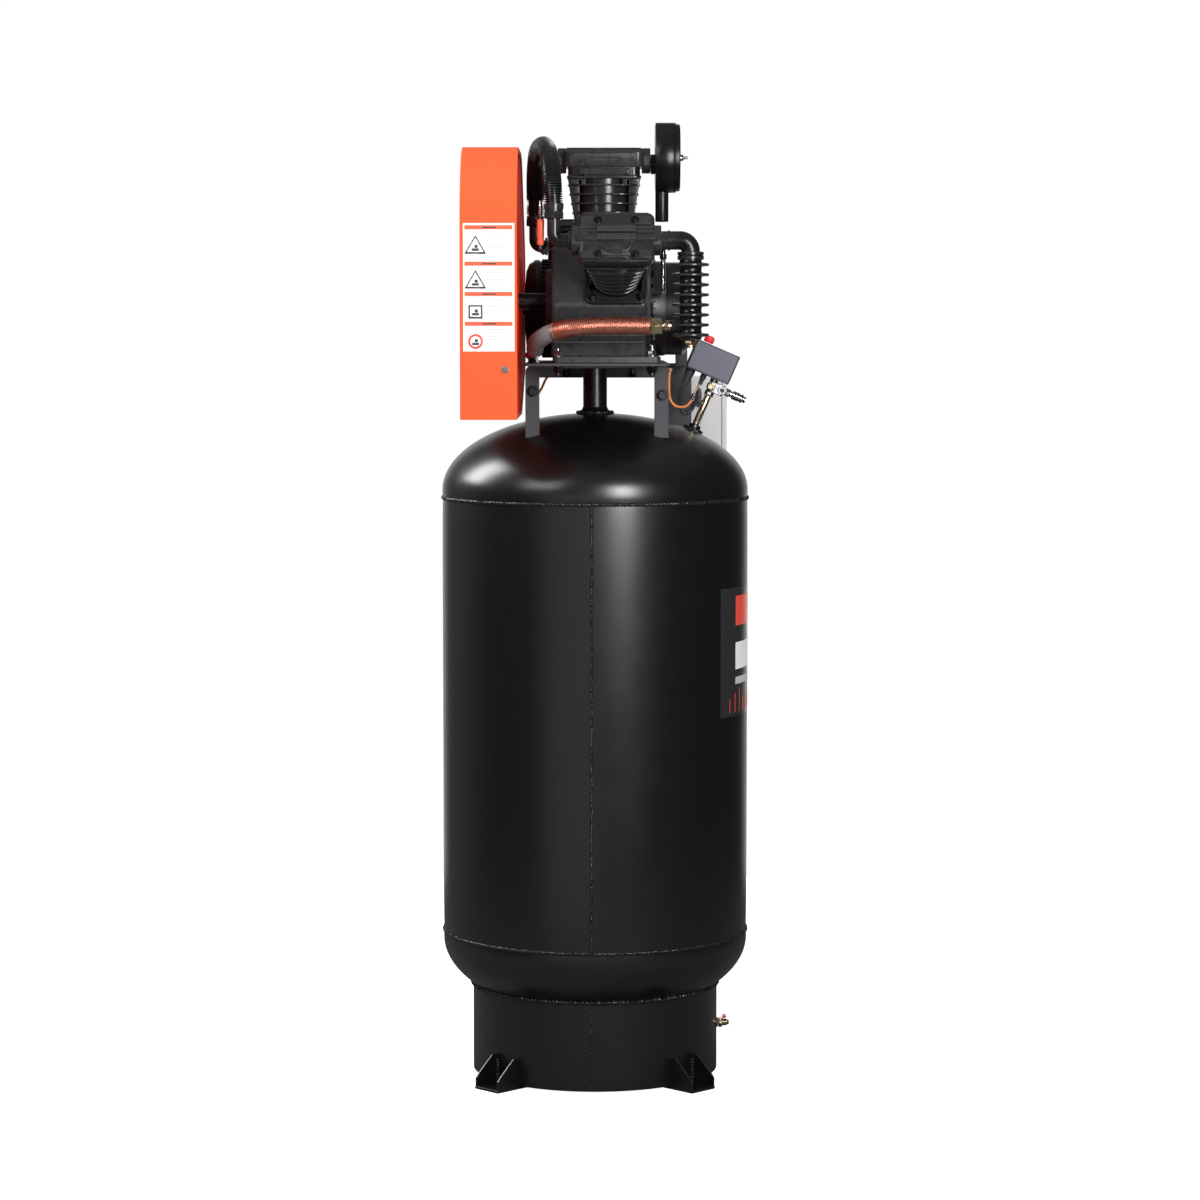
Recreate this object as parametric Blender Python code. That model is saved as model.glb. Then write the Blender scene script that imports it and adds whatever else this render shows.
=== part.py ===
"""Vertical tank compressor: an 80 gallon tank carrying a belt-driven, three-cylinder, two-stage pump.

Metres, +Z up, origin on the tank's axis at the floor. The crankshaft and the motor shaft run along X:
the belt guard is at -X and the pressure switch at +X. The pump stands at -Y and the motor at +Y.
"""

import bmesh
import bpy
from math import cos, pi, radians, sin, sqrt
from mathutils import Matrix, Vector

GAP = 0.0004

# Tank
TANK_RADIUS = 0.305
TANK_WALL = 0.0035
SEAM_LOW = 0.287
SEAM_HIGH = 1.150
HEAD_FLANGE = 0.0152
HEAD_RISE = 0.1525
TANK_SIDES = 32

# Base ring and its four feet
RING_RADIUS = 0.2443
RING_WALL = 0.003
RING_BOTTOM = 0.006
RING_TOP = 0.177
FOOT_REACH = 0.300
FOOT_WIDTH = 0.066
FOOT_PLATE = 0.0055

# Platform on top of the tank
COLUMN_RADIUS = 0.0237
PLATE_BOTTOM = 1.4125
PLATE_TOP = 1.4178
PLATE_X = (-0.1345, 0.142)
PLATE_Y = (-0.285, 0.335)
BAR = 0.005
LEG_DEPTH = 0.060
LEG_INNER = 0.110

# Pump
CRANK_Y = -0.170
CRANK_Z = 1.536
BANK_ANGLE = radians(65)
THROW = 0.022
ROD_LENGTH = 0.180
CYLINDER_FOOT = 0.106
DECK = 0.2335
HEAD_TOP = 0.2925
HEAD_HALF_Y = 0.0525
NEAR_X, CENTRE_X, FAR_X = 0.040, 0.0175, -0.005
PORT_HEIGHT = 0.262

# Motor and belt drive
MOTOR_Y = 0.200
MOTOR_Z = 1.524
MOTOR_RADIUS = 0.100
FLYWHEEL_RADIUS = 0.178
PULLEY_RADIUS = 0.060
BELT_X = (-0.226, -0.184)
GUARD_X = (-0.2504, -0.1440)
GUARD_BOTTOM = 1.3145
GUARD_TOP = 1.8258

# Air side
FILTER_RADIUS = 0.067
FILTER_Z = 1.8104
FILTER_X = (0.1153, 0.1636)
HOSE_RADIUS = 0.018
COOLER_X = 0.178
DISC_PITCH = 0.01855
DISC_TOP = 1.602
DISCHARGE_Z = 1.489
CHECK_VALVE_XY = (-0.126, 0.050)

# Pressure switch group, built along the normal of the top head
SWITCH_X = 0.1943
SWITCH_Z = 1.2828
SWITCH_TILT = radians(23.5)

# Drain
DRAIN_Z = 0.093
DRAIN_VALVE_X = 0.2592


def material(name, colour, roughness, metallic=0.0):
    made = bpy.data.materials.new(name)
    made.use_nodes = True
    shader = made.node_tree.nodes["Principled BSDF"]
    shader.inputs["Base Color"].default_value = (*colour, 1.0)
    shader.inputs["Roughness"].default_value = roughness
    shader.inputs["Metallic"].default_value = metallic
    return made


# ---------------------------------------------------------------- shapes


def ring(z, half_x, half_y=None, corner=None, sides=20, at=(0.0, 0.0)):
    """Points of a rounded rectangle at height z, or of a circle when only half_x is given."""
    half_y = half_x if half_y is None else half_y
    round_all = corner is None or corner == half_x == half_y
    corner = min(half_x, half_y) if corner is None else corner
    start = 0.0 if round_all else 0.5
    points = []
    for i in range(sides):
        angle = (i + start) * 2 * pi / sides
        x = corner * cos(angle)
        y = corner * sin(angle)
        x += (half_x - corner) * (1 if x > 0 else -1)
        y += (half_y - corner) * (1 if y > 0 else -1)
        points.append(Vector((x + at[0], y + at[1], z)))
    return points


def solid(name, rings, mat, place=None, closed=False, smooth=True):
    """One body through the rings in order, capped at both ends, or joined end to end when closed."""
    mesh = bpy.data.meshes.new(name)
    shape = bmesh.new()
    rows = [[shape.verts.new(point) for point in points] for points in rings]
    pairs = list(zip(rows, rows[1:]))
    if closed:
        pairs.append((rows[-1], rows[0]))
    else:
        shape.faces.new(rows[0])
        shape.faces.new(rows[-1])
    for low, high in pairs:
        count = len(low)
        for i in range(count):
            j = (i + 1) % count
            shape.faces.new((low[i], low[j], high[j], high[i]))
    bmesh.ops.recalc_face_normals(shape, faces=shape.faces)
    if shape.calc_volume(signed=True) < 0:
        bmesh.ops.reverse_faces(shape, faces=shape.faces)
    shape.to_mesh(mesh)
    shape.free()
    mesh.materials.append(mat)
    made = bpy.data.objects.new(name, mesh)
    bpy.context.scene.collection.objects.link(made)
    made.matrix_world = place or Matrix.Identity(4)
    if smooth:
        mesh.shade_smooth()
    return made


def turned(name, profile, mat, place=None, sides=20, closed=False):
    """A turned body: profile is (radius, height) pairs."""
    rings = [ring(height, radius, sides=sides) for radius, height in profile]
    return solid(name, rings, mat, place, closed)


def block(name, low, high, mat, place=None):
    """A box between two opposite corners."""
    outline = [(low[0], low[1]), (high[0], low[1]), (high[0], high[1]), (low[0], high[1])]
    return prism(name, outline, low[2], high[2], mat, place)


def prism(name, outline, low, high, mat, place=None):
    """An outline in local XY drawn out along local Z."""
    rings = [[Vector((x, y, z)) for x, y in outline] for z in (low, high)]
    return solid(name, rings, mat, place, smooth=False)


def swept(name, stations, mat, sides=12, place=None):
    """A round body along a path: stations are (point, radius); a repeated point steps the radius."""
    points = [Vector(point) for point, _ in stations]
    ahead = []
    for i, point in enumerate(points):
        before = next((p for p in reversed(points[:i]) if (p - point).length > 1e-6), point)
        after = next((p for p in points[i + 1 :] if (p - point).length > 1e-6), point)
        step_in = (point - before).normalized()
        step_out = (after - point).normalized()
        ahead.append((step_in + step_out).normalized())
    side = ahead[0].orthogonal().normalized()
    rings = []
    for point, (_, radius), forward in zip(points, stations, ahead):
        side = (side - forward * side.dot(forward)).normalized()
        up = forward.cross(side)
        turns = [2 * pi * i / sides for i in range(sides)]
        rings.append([point + (side * cos(a) + up * sin(a)) * radius for a in turns])
    return solid(name, rings, mat, place)


def through(points, radius, steps=3):
    """Stations of one radius along a smooth curve through the points."""
    path = [Vector(point) for point in points]
    ends = [path[0] * 2 - path[1]] + path + [path[-1] * 2 - path[-2]]
    stations = []
    for i in range(len(path) - 1):
        a, b, c, d = ends[i : i + 4]
        for step in range(steps):
            t = step / steps
            curve = b * 2 + (c - a) * t + (a * 2 - b * 5 + c * 4 - d) * t**2
            curve += (b * 3 - a - c * 3 + d) * t**3
            stations.append((curve / 2, radius))
    stations.append((path[-1], radius))
    return stations


def boolean(target, tool, operation):
    """Join the tool to the target, or cut it away, and drop the tool."""
    modifier = target.modifiers.new("Boolean", "BOOLEAN")
    modifier.operation = operation
    modifier.solver = "EXACT"
    modifier.object = tool
    graph = bpy.context.evaluated_depsgraph_get()
    mesh = bpy.data.meshes.new_from_object(target.evaluated_get(graph))
    target.modifiers.clear()
    target.data = mesh
    bpy.data.objects.remove(tool)


def join(target, tool):
    boolean(target, tool, "UNION")


def cut(target, tool):
    boolean(target, tool, "DIFFERENCE")


def along_x(x, y, z):
    """Local Z along world +X, local X along world -Z, at the point."""
    return Matrix.Translation((x, y, z)) @ Matrix.Rotation(radians(90), 4, "Y")


def along_y(x, y, z):
    """Local Z along world -Y, at the point."""
    return Matrix.Translation((x, y, z)) @ Matrix.Rotation(radians(90), 4, "X")


# ---------------------------------------------------------------- tank


def dome_height(radius, offset=0.0):
    """Height of the top head's outside at this distance from the axis."""
    reach = TANK_RADIUS + offset
    return SEAM_HIGH + HEAD_FLANGE + (HEAD_RISE + offset) * sqrt(1 - (radius / reach) ** 2)


def head_profile(offset, steps=5):
    """(radius, height above the seam) of an elliptical head, from its crown to its seam."""
    reach = TANK_RADIUS + offset
    rise = HEAD_RISE + offset
    profile = [(0.012, HEAD_FLANGE + rise)]
    for i in range(1, steps + 1):
        angle = i * pi / 2 / steps
        profile.append((reach * sin(angle), HEAD_FLANGE + rise * cos(angle)))
    profile.append((reach, GAP))
    return profile


def tank_head(name, mat, seam, direction):
    inner = list(reversed(head_profile(-TANK_WALL)))
    profile = [(r, seam + direction * z) for r, z in head_profile(0.0) + inner]
    return turned(name, profile, mat, sides=TANK_SIDES)


def tank(mat):
    inner = TANK_RADIUS - TANK_WALL
    low = SEAM_LOW + GAP
    high = SEAM_HIGH - GAP
    profile = [(TANK_RADIUS, low), (TANK_RADIUS, high), (inner, high), (inner, low)]
    turned("tank_shell", profile, mat, sides=TANK_SIDES, closed=True)
    tank_head("tank_top_head", mat, SEAM_HIGH, 1)
    tank_head("tank_bottom_head", mat, SEAM_LOW, -1)


def base_ring(mat):
    inner = RING_RADIUS - RING_WALL
    profile = [(RING_RADIUS, RING_BOTTOM), (RING_RADIUS, RING_TOP)]
    profile += [(inner, RING_TOP), (inner, RING_BOTTOM)]
    made = turned("base_ring", profile, mat, sides=TANK_SIDES, closed=True)
    hole = turned("hole", [(0.014, 0.0), (0.014, 0.06)], mat, along_x(0.215, 0.0, DRAIN_Z), 12)
    cut(made, hole)


def foot(name, angle, mat):
    """A base plate under the ring with a sloping gusset welded up each side of it."""
    place = Matrix.Rotation(radians(angle), 4, "Z")
    half = FOOT_WIDTH / 2
    made = block(name, (0.205, -half, 0.0), (FOOT_REACH, half, FOOT_PLATE), mat, place)
    near_ring = RING_RADIUS + 0.001
    outline = [(near_ring, 0.003), (FOOT_REACH, 0.003), (FOOT_REACH, 0.030), (near_ring, 0.062)]
    for side in (-1, 1):
        middle = side * (half - 0.003)
        stand = place @ along_y(0.0, middle + 0.002, 0.0)
        join(made, prism("gusset", outline, 0.0, 0.004, mat, stand))


def drain(mats):
    """A pipe from the tank's lowest point out through the ring, ending in a small lever valve."""
    path = [
        ((0.0, 0.0, 0.1185), 0.014),
        ((0.0, 0.0, 0.108), 0.014),
        ((0.0, 0.0, 0.108), 0.010),
        ((0.001, 0.0, DRAIN_Z + 0.005), 0.010),
        ((0.006, 0.0, DRAIN_Z), 0.010),
        ((0.2468, 0.0, DRAIN_Z), 0.010),
    ]
    swept("drain_pipe", path, mats["black"])
    profile = [(0.011, 0.0), (0.011, 0.006), (0.008, 0.006), (0.008, 0.017)]
    profile += [(0.0055, 0.017), (0.0055, 0.022)]
    turned("drain_valve", profile, mats["brass"], along_x(0.2475, 0.0, DRAIN_Z), 12)
    stem = Matrix.Translation((DRAIN_VALVE_X, 0.0, DRAIN_Z + 0.0088))
    handle = turned("drain_handle", [(0.0045, 0.0), (0.0045, 0.008)], mats["red"], stem, 12)
    join(handle, block("lever", (-0.004, -0.022, 0.004), (0.004, 0.004, 0.0075), mats["red"], stem))


# ---------------------------------------------------------------- platform


def support_column(mat):
    low = dome_height(0.034) + 0.002
    high = PLATE_BOTTOM - GAP
    inner = COLUMN_RADIUS - 0.003
    profile = [(0.034, low), (COLUMN_RADIUS, low + 0.012), (COLUMN_RADIUS, high)]
    profile += [(inner, high), (inner, low)]
    turned("support_column", profile, mat, closed=True)


def platform_plate(mat):
    middle_x = sum(PLATE_X) / 2
    middle_y = sum(PLATE_Y) / 2
    half_x = (PLATE_X[1] - PLATE_X[0]) / 2
    half_y = (PLATE_Y[1] - PLATE_Y[0]) / 2
    at = (middle_x, middle_y)
    rings = [ring(z, half_x, half_y, 0.012, at=at) for z in (PLATE_BOTTOM, PLATE_TOP)]
    made = solid("platform_plate", rings, mat)
    place = Matrix.Translation((*CHECK_VALVE_XY, 1.40))
    cut(made, turned("hole", [(0.011, 0.0), (0.011, 0.03)], mat, place, 12))


def dome_cutter(mat):
    """The volume of the top head, a little grown, to trim what is welded onto it."""
    profile = [(r, SEAM_HIGH + z) for r, z in head_profile(0.0018, 9)]
    profile.append((TANK_RADIUS + 0.0018, SEAM_HIGH - 0.05))
    return turned("dome", profile, mat, sides=TANK_SIDES * 2)


def bridge_outline(thickness_side, thickness_top, inset=0.0):
    """The inverted U of a leg frame, in XZ."""
    left = PLATE_X[0] + inset
    right = PLATE_X[1] - inset
    top = PLATE_BOTTOM - GAP - inset
    foot_z = 1.25
    return [
        (left, foot_z),
        (left, top),
        (right, top),
        (right, foot_z),
        (right - thickness_side, foot_z),
        (right - thickness_side, top - thickness_top),
        (left + thickness_side, top - thickness_top),
        (left + thickness_side, foot_z),
    ]


def leg_frame(name, mat, front, lip_side, lip_top):
    """A bar bent over the dome, with a lip turned in along its front edge."""
    place = along_y(0.0, front + LEG_DEPTH, 0.0)
    made = prism(name, bridge_outline(BAR, BAR), 0.0, LEG_DEPTH, mat, place)
    lip = bridge_outline(lip_side, lip_top, 0.0002)
    join(made, prism("lip", lip, 0.0, BAR, mat, along_y(0.0, front + BAR + 0.0002, 0.0)))
    cut(made, dome_cutter(mat))


def platform(mats):
    support_column(mats["black"])
    platform_plate(mats["grey"])
    leg_frame("leg_frame_near", mats["grey"], -LEG_INNER - LEG_DEPTH, 0.027, BAR + 0.001)
    leg_frame("leg_frame_far", mats["grey"], LEG_INNER, BAR + 0.001, 0.027)


# ---------------------------------------------------------------- pump


def bank(x, angle):
    """Local Z along a cylinder's axis, away from the crank axis; local X along world X."""
    return Matrix.Translation((x, CRANK_Y, CRANK_Z)) @ Matrix.Rotation(angle, 4, "X")


BANKS = {
    "near": (NEAR_X, BANK_ANGLE, 0.0375, 0.0720),
    "centre": (CENTRE_X, 0.0, 0.0425, 0.0775),
    "far": (FAR_X, -BANK_ANGLE, 0.0425, 0.0775),
}


def case_outline(inset):
    """The crankcase in YZ about the crank axis: a deck for each of the three cylinders."""
    reach = CYLINDER_FOOT - GAP - inset
    half = 0.056 - inset * 0.5
    lean = pi / 2 - BANK_ANGLE
    side_low = (reach * cos(lean) + half * sin(lean), reach * sin(lean) - half * cos(lean))
    side_high = (reach * cos(lean) - half * sin(lean), reach * sin(lean) + half * cos(lean))
    right = [(0.098 - inset, -0.108 + inset), side_low, side_high, (half * 0.95, reach)]
    left = [(-y, z) for y, z in reversed(right)]
    return right + left


def crankcase(mat):
    """The outline is (y, z), so local X is world +Y and local Y is world +Z."""
    place = Matrix(((0, 0, 1, 0), (1, 0, 0, CRANK_Y), (0, 1, 0, CRANK_Z), (0, 0, 0, 1)))
    made = prism("crankcase", case_outline(0.0), -0.083, 0.098, mat, place)
    low = (-0.0805, CRANK_Y - 0.105, PLATE_TOP + GAP)
    join(made, block("base", low, (0.1255, CRANK_Y + 0.105, 1.4306), mat))
    boss = [(0.062, 0.010), (0.062, -0.0115), (0.059, -0.0145)]
    join(made, turned("boss", boss, mat, along_x(-0.080, CRANK_Y, CRANK_Z)))
    cut(made, prism("inside", case_outline(0.009), -0.072, 0.12, mat, place))
    shaft_hole = [(0.0165, -0.03), (0.0165, 0.03)]
    cut(made, turned("shaft_hole", shaft_hole, mat, along_x(-0.08, CRANK_Y, CRANK_Z)))
    for x, angle, _, _ in BANKS.values():
        cut(made, turned("bore", [(0.046, 0.06), (0.046, 0.13)], mat, bank(x, angle), 20))


def end_cover(mat):
    """The bearing cover, pocketed for the crankshaft's journal, with the oil sight boss low on it."""
    place = along_x(0.0984, CRANK_Y, CRANK_Z)
    rings = [
        ring(0.001, 0.0170),
        ring(-0.016, 0.0170),
        ring(-0.016, 0.0300),
        ring(0.000, 0.0300),
        ring(0.000, 0.088, 0.088, 0.05),
        ring(0.008, 0.088, 0.088, 0.05),
        ring(0.008, 0.034),
        ring(0.014, 0.032),
    ]
    made = solid("end_cover", rings, mat, place)
    sight = along_x(0.104, CRANK_Y, CRANK_Z - 0.060)
    profile = [(0.016, 0.0), (0.016, 0.009), (0.012, 0.009), (0.012, 0.012)]
    join(made, turned("sight", profile, mat, sight, 16))


def cylinder(name, place, bore, half, mat):
    """Square foot, five fins that widen towards the head, and a head flange."""
    barrel = 0.049
    steps = [
        (CYLINDER_FOOT, 0.058, 0.058, 0.016),
        (0.117, 0.058, 0.058, 0.016),
        (0.117, barrel, barrel, barrel),
    ]
    for i in range(5):
        z = 0.130 + i * 0.018
        reach = half - 0.016 + i * 0.0035
        steps += [(z, barrel, barrel, barrel), (z, reach, HEAD_HALF_Y, 0.025)]
        steps += [(z + 0.005, reach, HEAD_HALF_Y, 0.025), (z + 0.005, barrel, barrel, barrel)]
    steps += [
        (0.220, barrel, barrel, barrel),
        (0.220, half, HEAD_HALF_Y, 0.020),
        (DECK, half, HEAD_HALF_Y, 0.020),
        (DECK, bore, bore, bore),
        (CYLINDER_FOOT, bore, bore, bore),
    ]
    rings = [ring(*step, sides=16) for step in steps]
    return solid(name, rings, mat, place, closed=True)


def cylinder_head(name, place, half, mat):
    """A cast head, pocketed from below, with a port flange at each end."""
    low = DECK + GAP
    rings = [
        ring(low + 0.030, 0.040, 0.036, 0.020),
        ring(low, 0.040, 0.036, 0.020),
        ring(low, half, HEAD_HALF_Y, 0.018),
        ring(low + 0.030, half, HEAD_HALF_Y, 0.018),
        ring(low + 0.046, half - 0.010, HEAD_HALF_Y - 0.006, 0.018),
        ring(HEAD_TOP, half - 0.014, HEAD_HALF_Y - 0.010, 0.018),
    ]
    made = solid(name, rings, mat, place)
    for side in (-1, 1):
        start = place @ Matrix.Translation((side * (half - 0.012), 0.0, PORT_HEIGHT))
        turn = Matrix.Rotation(radians(90) * side, 4, "Y")
        flange = [ring(z, 0.022, 0.024, 0.010, 16) for z in (0.0, 0.0235)]
        join(made, solid("flange", flange, mat, start @ turn))


def piston(name, place, bore, mat):
    outer = bore - 0.0006
    inner = bore - 0.0042
    profile = [(inner, 0.2235), (inner, 0.186), (outer, 0.186), (outer, 0.2315)]
    turned(name, profile, mat, place, 16)


def rod(name, x, angle, mat):
    """A connecting rod: big end on the crankpin, which is its origin, and parallel to its cylinder."""
    place = Matrix.Translation((x, CRANK_Y, CRANK_Z + THROW)) @ Matrix.Rotation(angle, 4, "X")
    axle = place @ Matrix.Rotation(radians(90), 4, "Y")
    made = block(name, (-0.005, -0.007, 0.0), (0.005, 0.007, ROD_LENGTH), mat, place)
    join(made, turned("big_end", [(0.020, -0.008), (0.020, 0.008)], mat, axle, 16))
    top = place @ Matrix.Translation((0.0, 0.0, ROD_LENGTH)) @ Matrix.Rotation(radians(90), 4, "Y")
    join(made, turned("small_end", [(0.010, -0.0085), (0.010, 0.0085)], mat, top, 12))
    cut(made, turned("pin_bore", [(0.0130, -0.02), (0.0130, 0.02)], mat, axle, 16))
    cut(made, turned("wrist_bore", [(0.005, -0.02), (0.005, 0.02)], mat, top, 12))


def crankshaft(mat):
    """Journals on the crank axis and one pin, THROW above it, shared by the three rods."""
    place = along_x(0.0, CRANK_Y, CRANK_Z)
    pin_place = along_x(0.0, CRANK_Y, CRANK_Z + THROW)
    made = turned("crankshaft", [(0.0155, -0.236), (0.0155, -0.020)], mat, place, 16)
    join(made, turned("journal", [(0.0155, 0.055), (0.0155, 0.098)], mat, place, 16))
    join(made, turned("pin", [(0.0120, -0.022), (0.0120, 0.058)], mat, pin_place, 16))
    for low in (-0.032, 0.051):
        web = [ring(z, 0.052, 0.026, 0.020, 16, (0.008, 0.0)) for z in (low, low + 0.014)]
        join(made, solid("web", web, mat, place))


def flywheel(mat):
    """Rim, thin web pierced by five windows, and hub."""
    place = along_x(0.0, CRANK_Y, CRANK_Z)
    low, high = BELT_X
    profile = [
        (0.0160, low),
        (0.0160, high),
        (0.036, high),
        (0.036, -0.201),
        (FLYWHEEL_RADIUS - 0.022, -0.201),
        (FLYWHEEL_RADIUS - 0.018, high),
        (FLYWHEEL_RADIUS, high),
        (FLYWHEEL_RADIUS, low),
        (FLYWHEEL_RADIUS - 0.018, low),
        (FLYWHEEL_RADIUS - 0.022, -0.211),
        (0.036, -0.211),
        (0.036, low),
    ]
    made = turned("flywheel", profile, mat, place, 24, closed=True)
    for i in range(5):
        angle = radians(72 * i)
        centre = Matrix.Translation((0.096 * cos(angle), 0.096 * sin(angle), -0.25))
        cut(made, turned("window", [(0.034, 0.0), (0.034, 0.1)], mat, place @ centre, 10))


def pump(mats):
    crankcase(mats["cast"])
    end_cover(mats["cast"])
    crankshaft(mats["steel"])
    flywheel(mats["cast"])
    for key, (x, angle, bore, half) in BANKS.items():
        place = bank(x, angle)
        cylinder("cylinder_" + key, place, bore, half - 0.003, mats["cast"])
        cylinder_head("head_" + key, place, half, mats["cast"])
        piston("piston_" + key, place, bore, mats["steel"])
        rod("rod_" + key, x, angle, mats["steel"])


# ---------------------------------------------------------------- air side


def port_point(key, side):
    """Where a head's port flange ends, and the outward direction along X."""
    x, angle, _, half = BANKS[key]
    y = CRANK_Y - PORT_HEIGHT * sin(angle)
    z = CRANK_Z + PORT_HEIGHT * cos(angle)
    return Vector((x + side * (half + 0.0115 + GAP), y, z))


def intercooler(mat):
    """One line from the near head up over the centre head, which it also joins, to the far head."""
    near = port_point("near", -1)
    far = port_point("far", -1)
    crown = port_point("centre", -1)
    rise = Vector((0.0, 0.0, 1.0))
    near_turn = Vector((-0.076, near.y, near.z))
    far_turn = Vector((-0.119, far.y, far.z))
    stations = [(near, 0.0125), (near_turn + Vector((0.008, 0.0, 0.0)), 0.0125)]
    stations += [(near_turn + rise * 0.008, 0.0125), (near_turn + rise * 0.040, 0.0125)]
    stations += [(near_turn + rise * 0.040, 0.020), (near_turn + rise * 0.060, 0.020)]
    arch = [
        near_turn + rise * 0.060,
        Vector((-0.079, -0.398, 1.755)),
        Vector((-0.084, -0.355, 1.800)),
        Vector((-0.093, -0.270, 1.826)),
        Vector((-0.104, -0.160, 1.832)),
        Vector((-0.113, -0.050, 1.822)),
        Vector((-0.118, 0.030, 1.788)),
        Vector((-0.119, far.y, 1.745)),
        far_turn + rise * 0.060,
    ]
    stations += through(arch, HOSE_RADIUS, 2)
    stations += [(far_turn + rise * 0.060, 0.020), (far_turn + rise * 0.040, 0.020)]
    stations += [(far_turn + rise * 0.040, 0.0125), (far_turn + rise * 0.008, 0.0125)]
    stations += [(far_turn + Vector((0.008, 0.0, 0.0)), 0.0125), (far, 0.0125)]
    made = swept("intercooler_line", stations, mat, 12)
    out = Vector((-0.005, 0.0, 0.0))
    branch = [
        (crown, 0.015),
        (crown + out, 0.015),
        (Vector((-0.088, crown.y, crown.z + 0.012)), 0.014),
        (Vector((-0.101, crown.y, 1.829)), 0.014),
    ]
    join(made, swept("branch", branch, mat, 10))


def air_filter(mats):
    """Canister on the centre head's port, with a down-turned inlet pipe, a lid and a wing nut."""
    place = along_x(0.0, CRANK_Y, FILTER_Z)
    port = port_point("centre", 1)
    seam = 0.152
    low = FILTER_X[0]
    can = [(FILTER_RADIUS, low), (FILTER_RADIUS, seam - GAP)]
    made = turned("filter_canister", can, mats["satin"], place)
    neck = [(0.018, port.x), (0.018, low + 0.002)]
    join(made, turned("neck", neck, mats["satin"], along_x(0.0, port.y, port.z), 16))
    pipe = Matrix.Translation((0.1287, CRANK_Y, 0.0))
    profile = [(0.0120, 1.760), (0.0120, 1.688), (0.0105, 1.688), (0.0105, 1.756)]
    join(made, turned("inlet", profile, mats["satin"], pipe, 16))
    lid = [(FILTER_RADIUS - 0.003, seam), (FILTER_RADIUS - 0.003, FILTER_X[1])]
    turned("filter_lid", lid, mats["satin"], place)
    nut_place = along_x(FILTER_X[1] + GAP, CRANK_Y, FILTER_Z)
    profile = [(0.006, 0.0), (0.006, 0.006), (0.003, 0.006), (0.003, 0.015)]
    nut = turned("filter_wing_nut", profile, mats["zinc"], nut_place, 12)
    wings = block("wings", (-0.0015, -0.013, 0.001), (0.0015, 0.013, 0.009), mats["zinc"], nut_place)
    join(nut, wings)


def aftercooler(mat):
    """Elbow and collar down to a core with eight discs and an outlet boss near its foot."""
    port = port_point("near", 1)
    x, y, z = COOLER_X, port.y, port.z
    pipe = 0.0175
    collar = z - 0.0210
    stations = [
        (port, pipe),
        (Vector((x - 0.020, y, z)), pipe),
        (Vector((x - 0.010, y, z - 0.0027)), pipe),
        (Vector((x - 0.0027, y, z - 0.010)), pipe),
        (Vector((x, y, z - 0.020)), pipe),
        (Vector((x, y, collar)), pipe),
        (Vector((x, y, collar)), 0.0245),
        (Vector((x, y, 1.611)), 0.0245),
        (Vector((x, y, 1.611)), 0.0215),
    ]
    for i in range(8):
        disc = DISC_TOP - i * DISC_PITCH
        high = Vector((x, y, disc + 0.0018))
        low = Vector((x, y, disc - 0.0018))
        stations += [(high, 0.0215), (high, 0.0345), (low, 0.0345), (low, 0.0215)]
    low = Vector((x, y, 1.463))
    stations += [(low, 0.0215), (low, 0.0110), (Vector((x, y, 1.447)), 0.0110)]
    made = swept("aftercooler", stations, mat, 12)
    outlet = [(0.0105, 0.0), (0.0105, 0.035)]
    join(made, turned("outlet", outlet, mat, along_x(0.143, y, DISCHARGE_Z), 12))


def discharge(mats):
    """Brass union, then the finned tube across the pump's front and back to the check valve."""
    y = port_point("near", 1).y
    profile = [(0.0165, 0.0), (0.0165, 0.022), (0.0095, 0.022), (0.0095, 0.0385)]
    turned("discharge_union", profile, mats["brass"], along_x(0.1040, y, DISCHARGE_Z), 12)
    check_x, check_y = CHECK_VALVE_XY
    sleeve_start = (-0.088, -0.388, 1.474)
    sleeve_end = (-0.113, -0.305, 1.446)
    front = [(0.1035, y, DISCHARGE_Z), (0.02, y, DISCHARGE_Z), (-0.05, y, 1.486), sleeve_start]
    stations = through(front, 0.018)
    stations += through([sleeve_start, (-0.108, -0.350, 1.460), sleeve_end], 0.0155)
    back = [sleeve_end, (check_x, -0.200, 1.433), (check_x, -0.050, 1.431), (check_x, 0.030, 1.430)]
    stations += through(back, 0.008)
    for y, z in ((check_y - 0.006, 1.427), (check_y, 1.418), (check_y, 1.3515)):
        stations.append(((check_x, y, z), 0.008))
    swept("discharge_tube", stations, mats["copper"])
    low = dome_height(sqrt(check_x**2 + check_y**2) - 0.014) + 0.0006
    profile = [(0.012, low), (0.012, 1.335), (0.014, 1.335), (0.014, 1.351)]
    turned("check_valve", profile, mats["brass"], Matrix.Translation((check_x, check_y, 0.0)), 12)


# ---------------------------------------------------------------- pressure switch group


def switch_frame(u=0.0, w=0.0, y=0.0):
    """Origin on the top head, local Z along the group's axis and local X to its right."""
    base = Matrix.Translation((SWITCH_X, 0.0, SWITCH_Z)) @ Matrix.Rotation(SWITCH_TILT, 4, "Y")
    return base @ Matrix.Translation((u, y, w))


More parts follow.
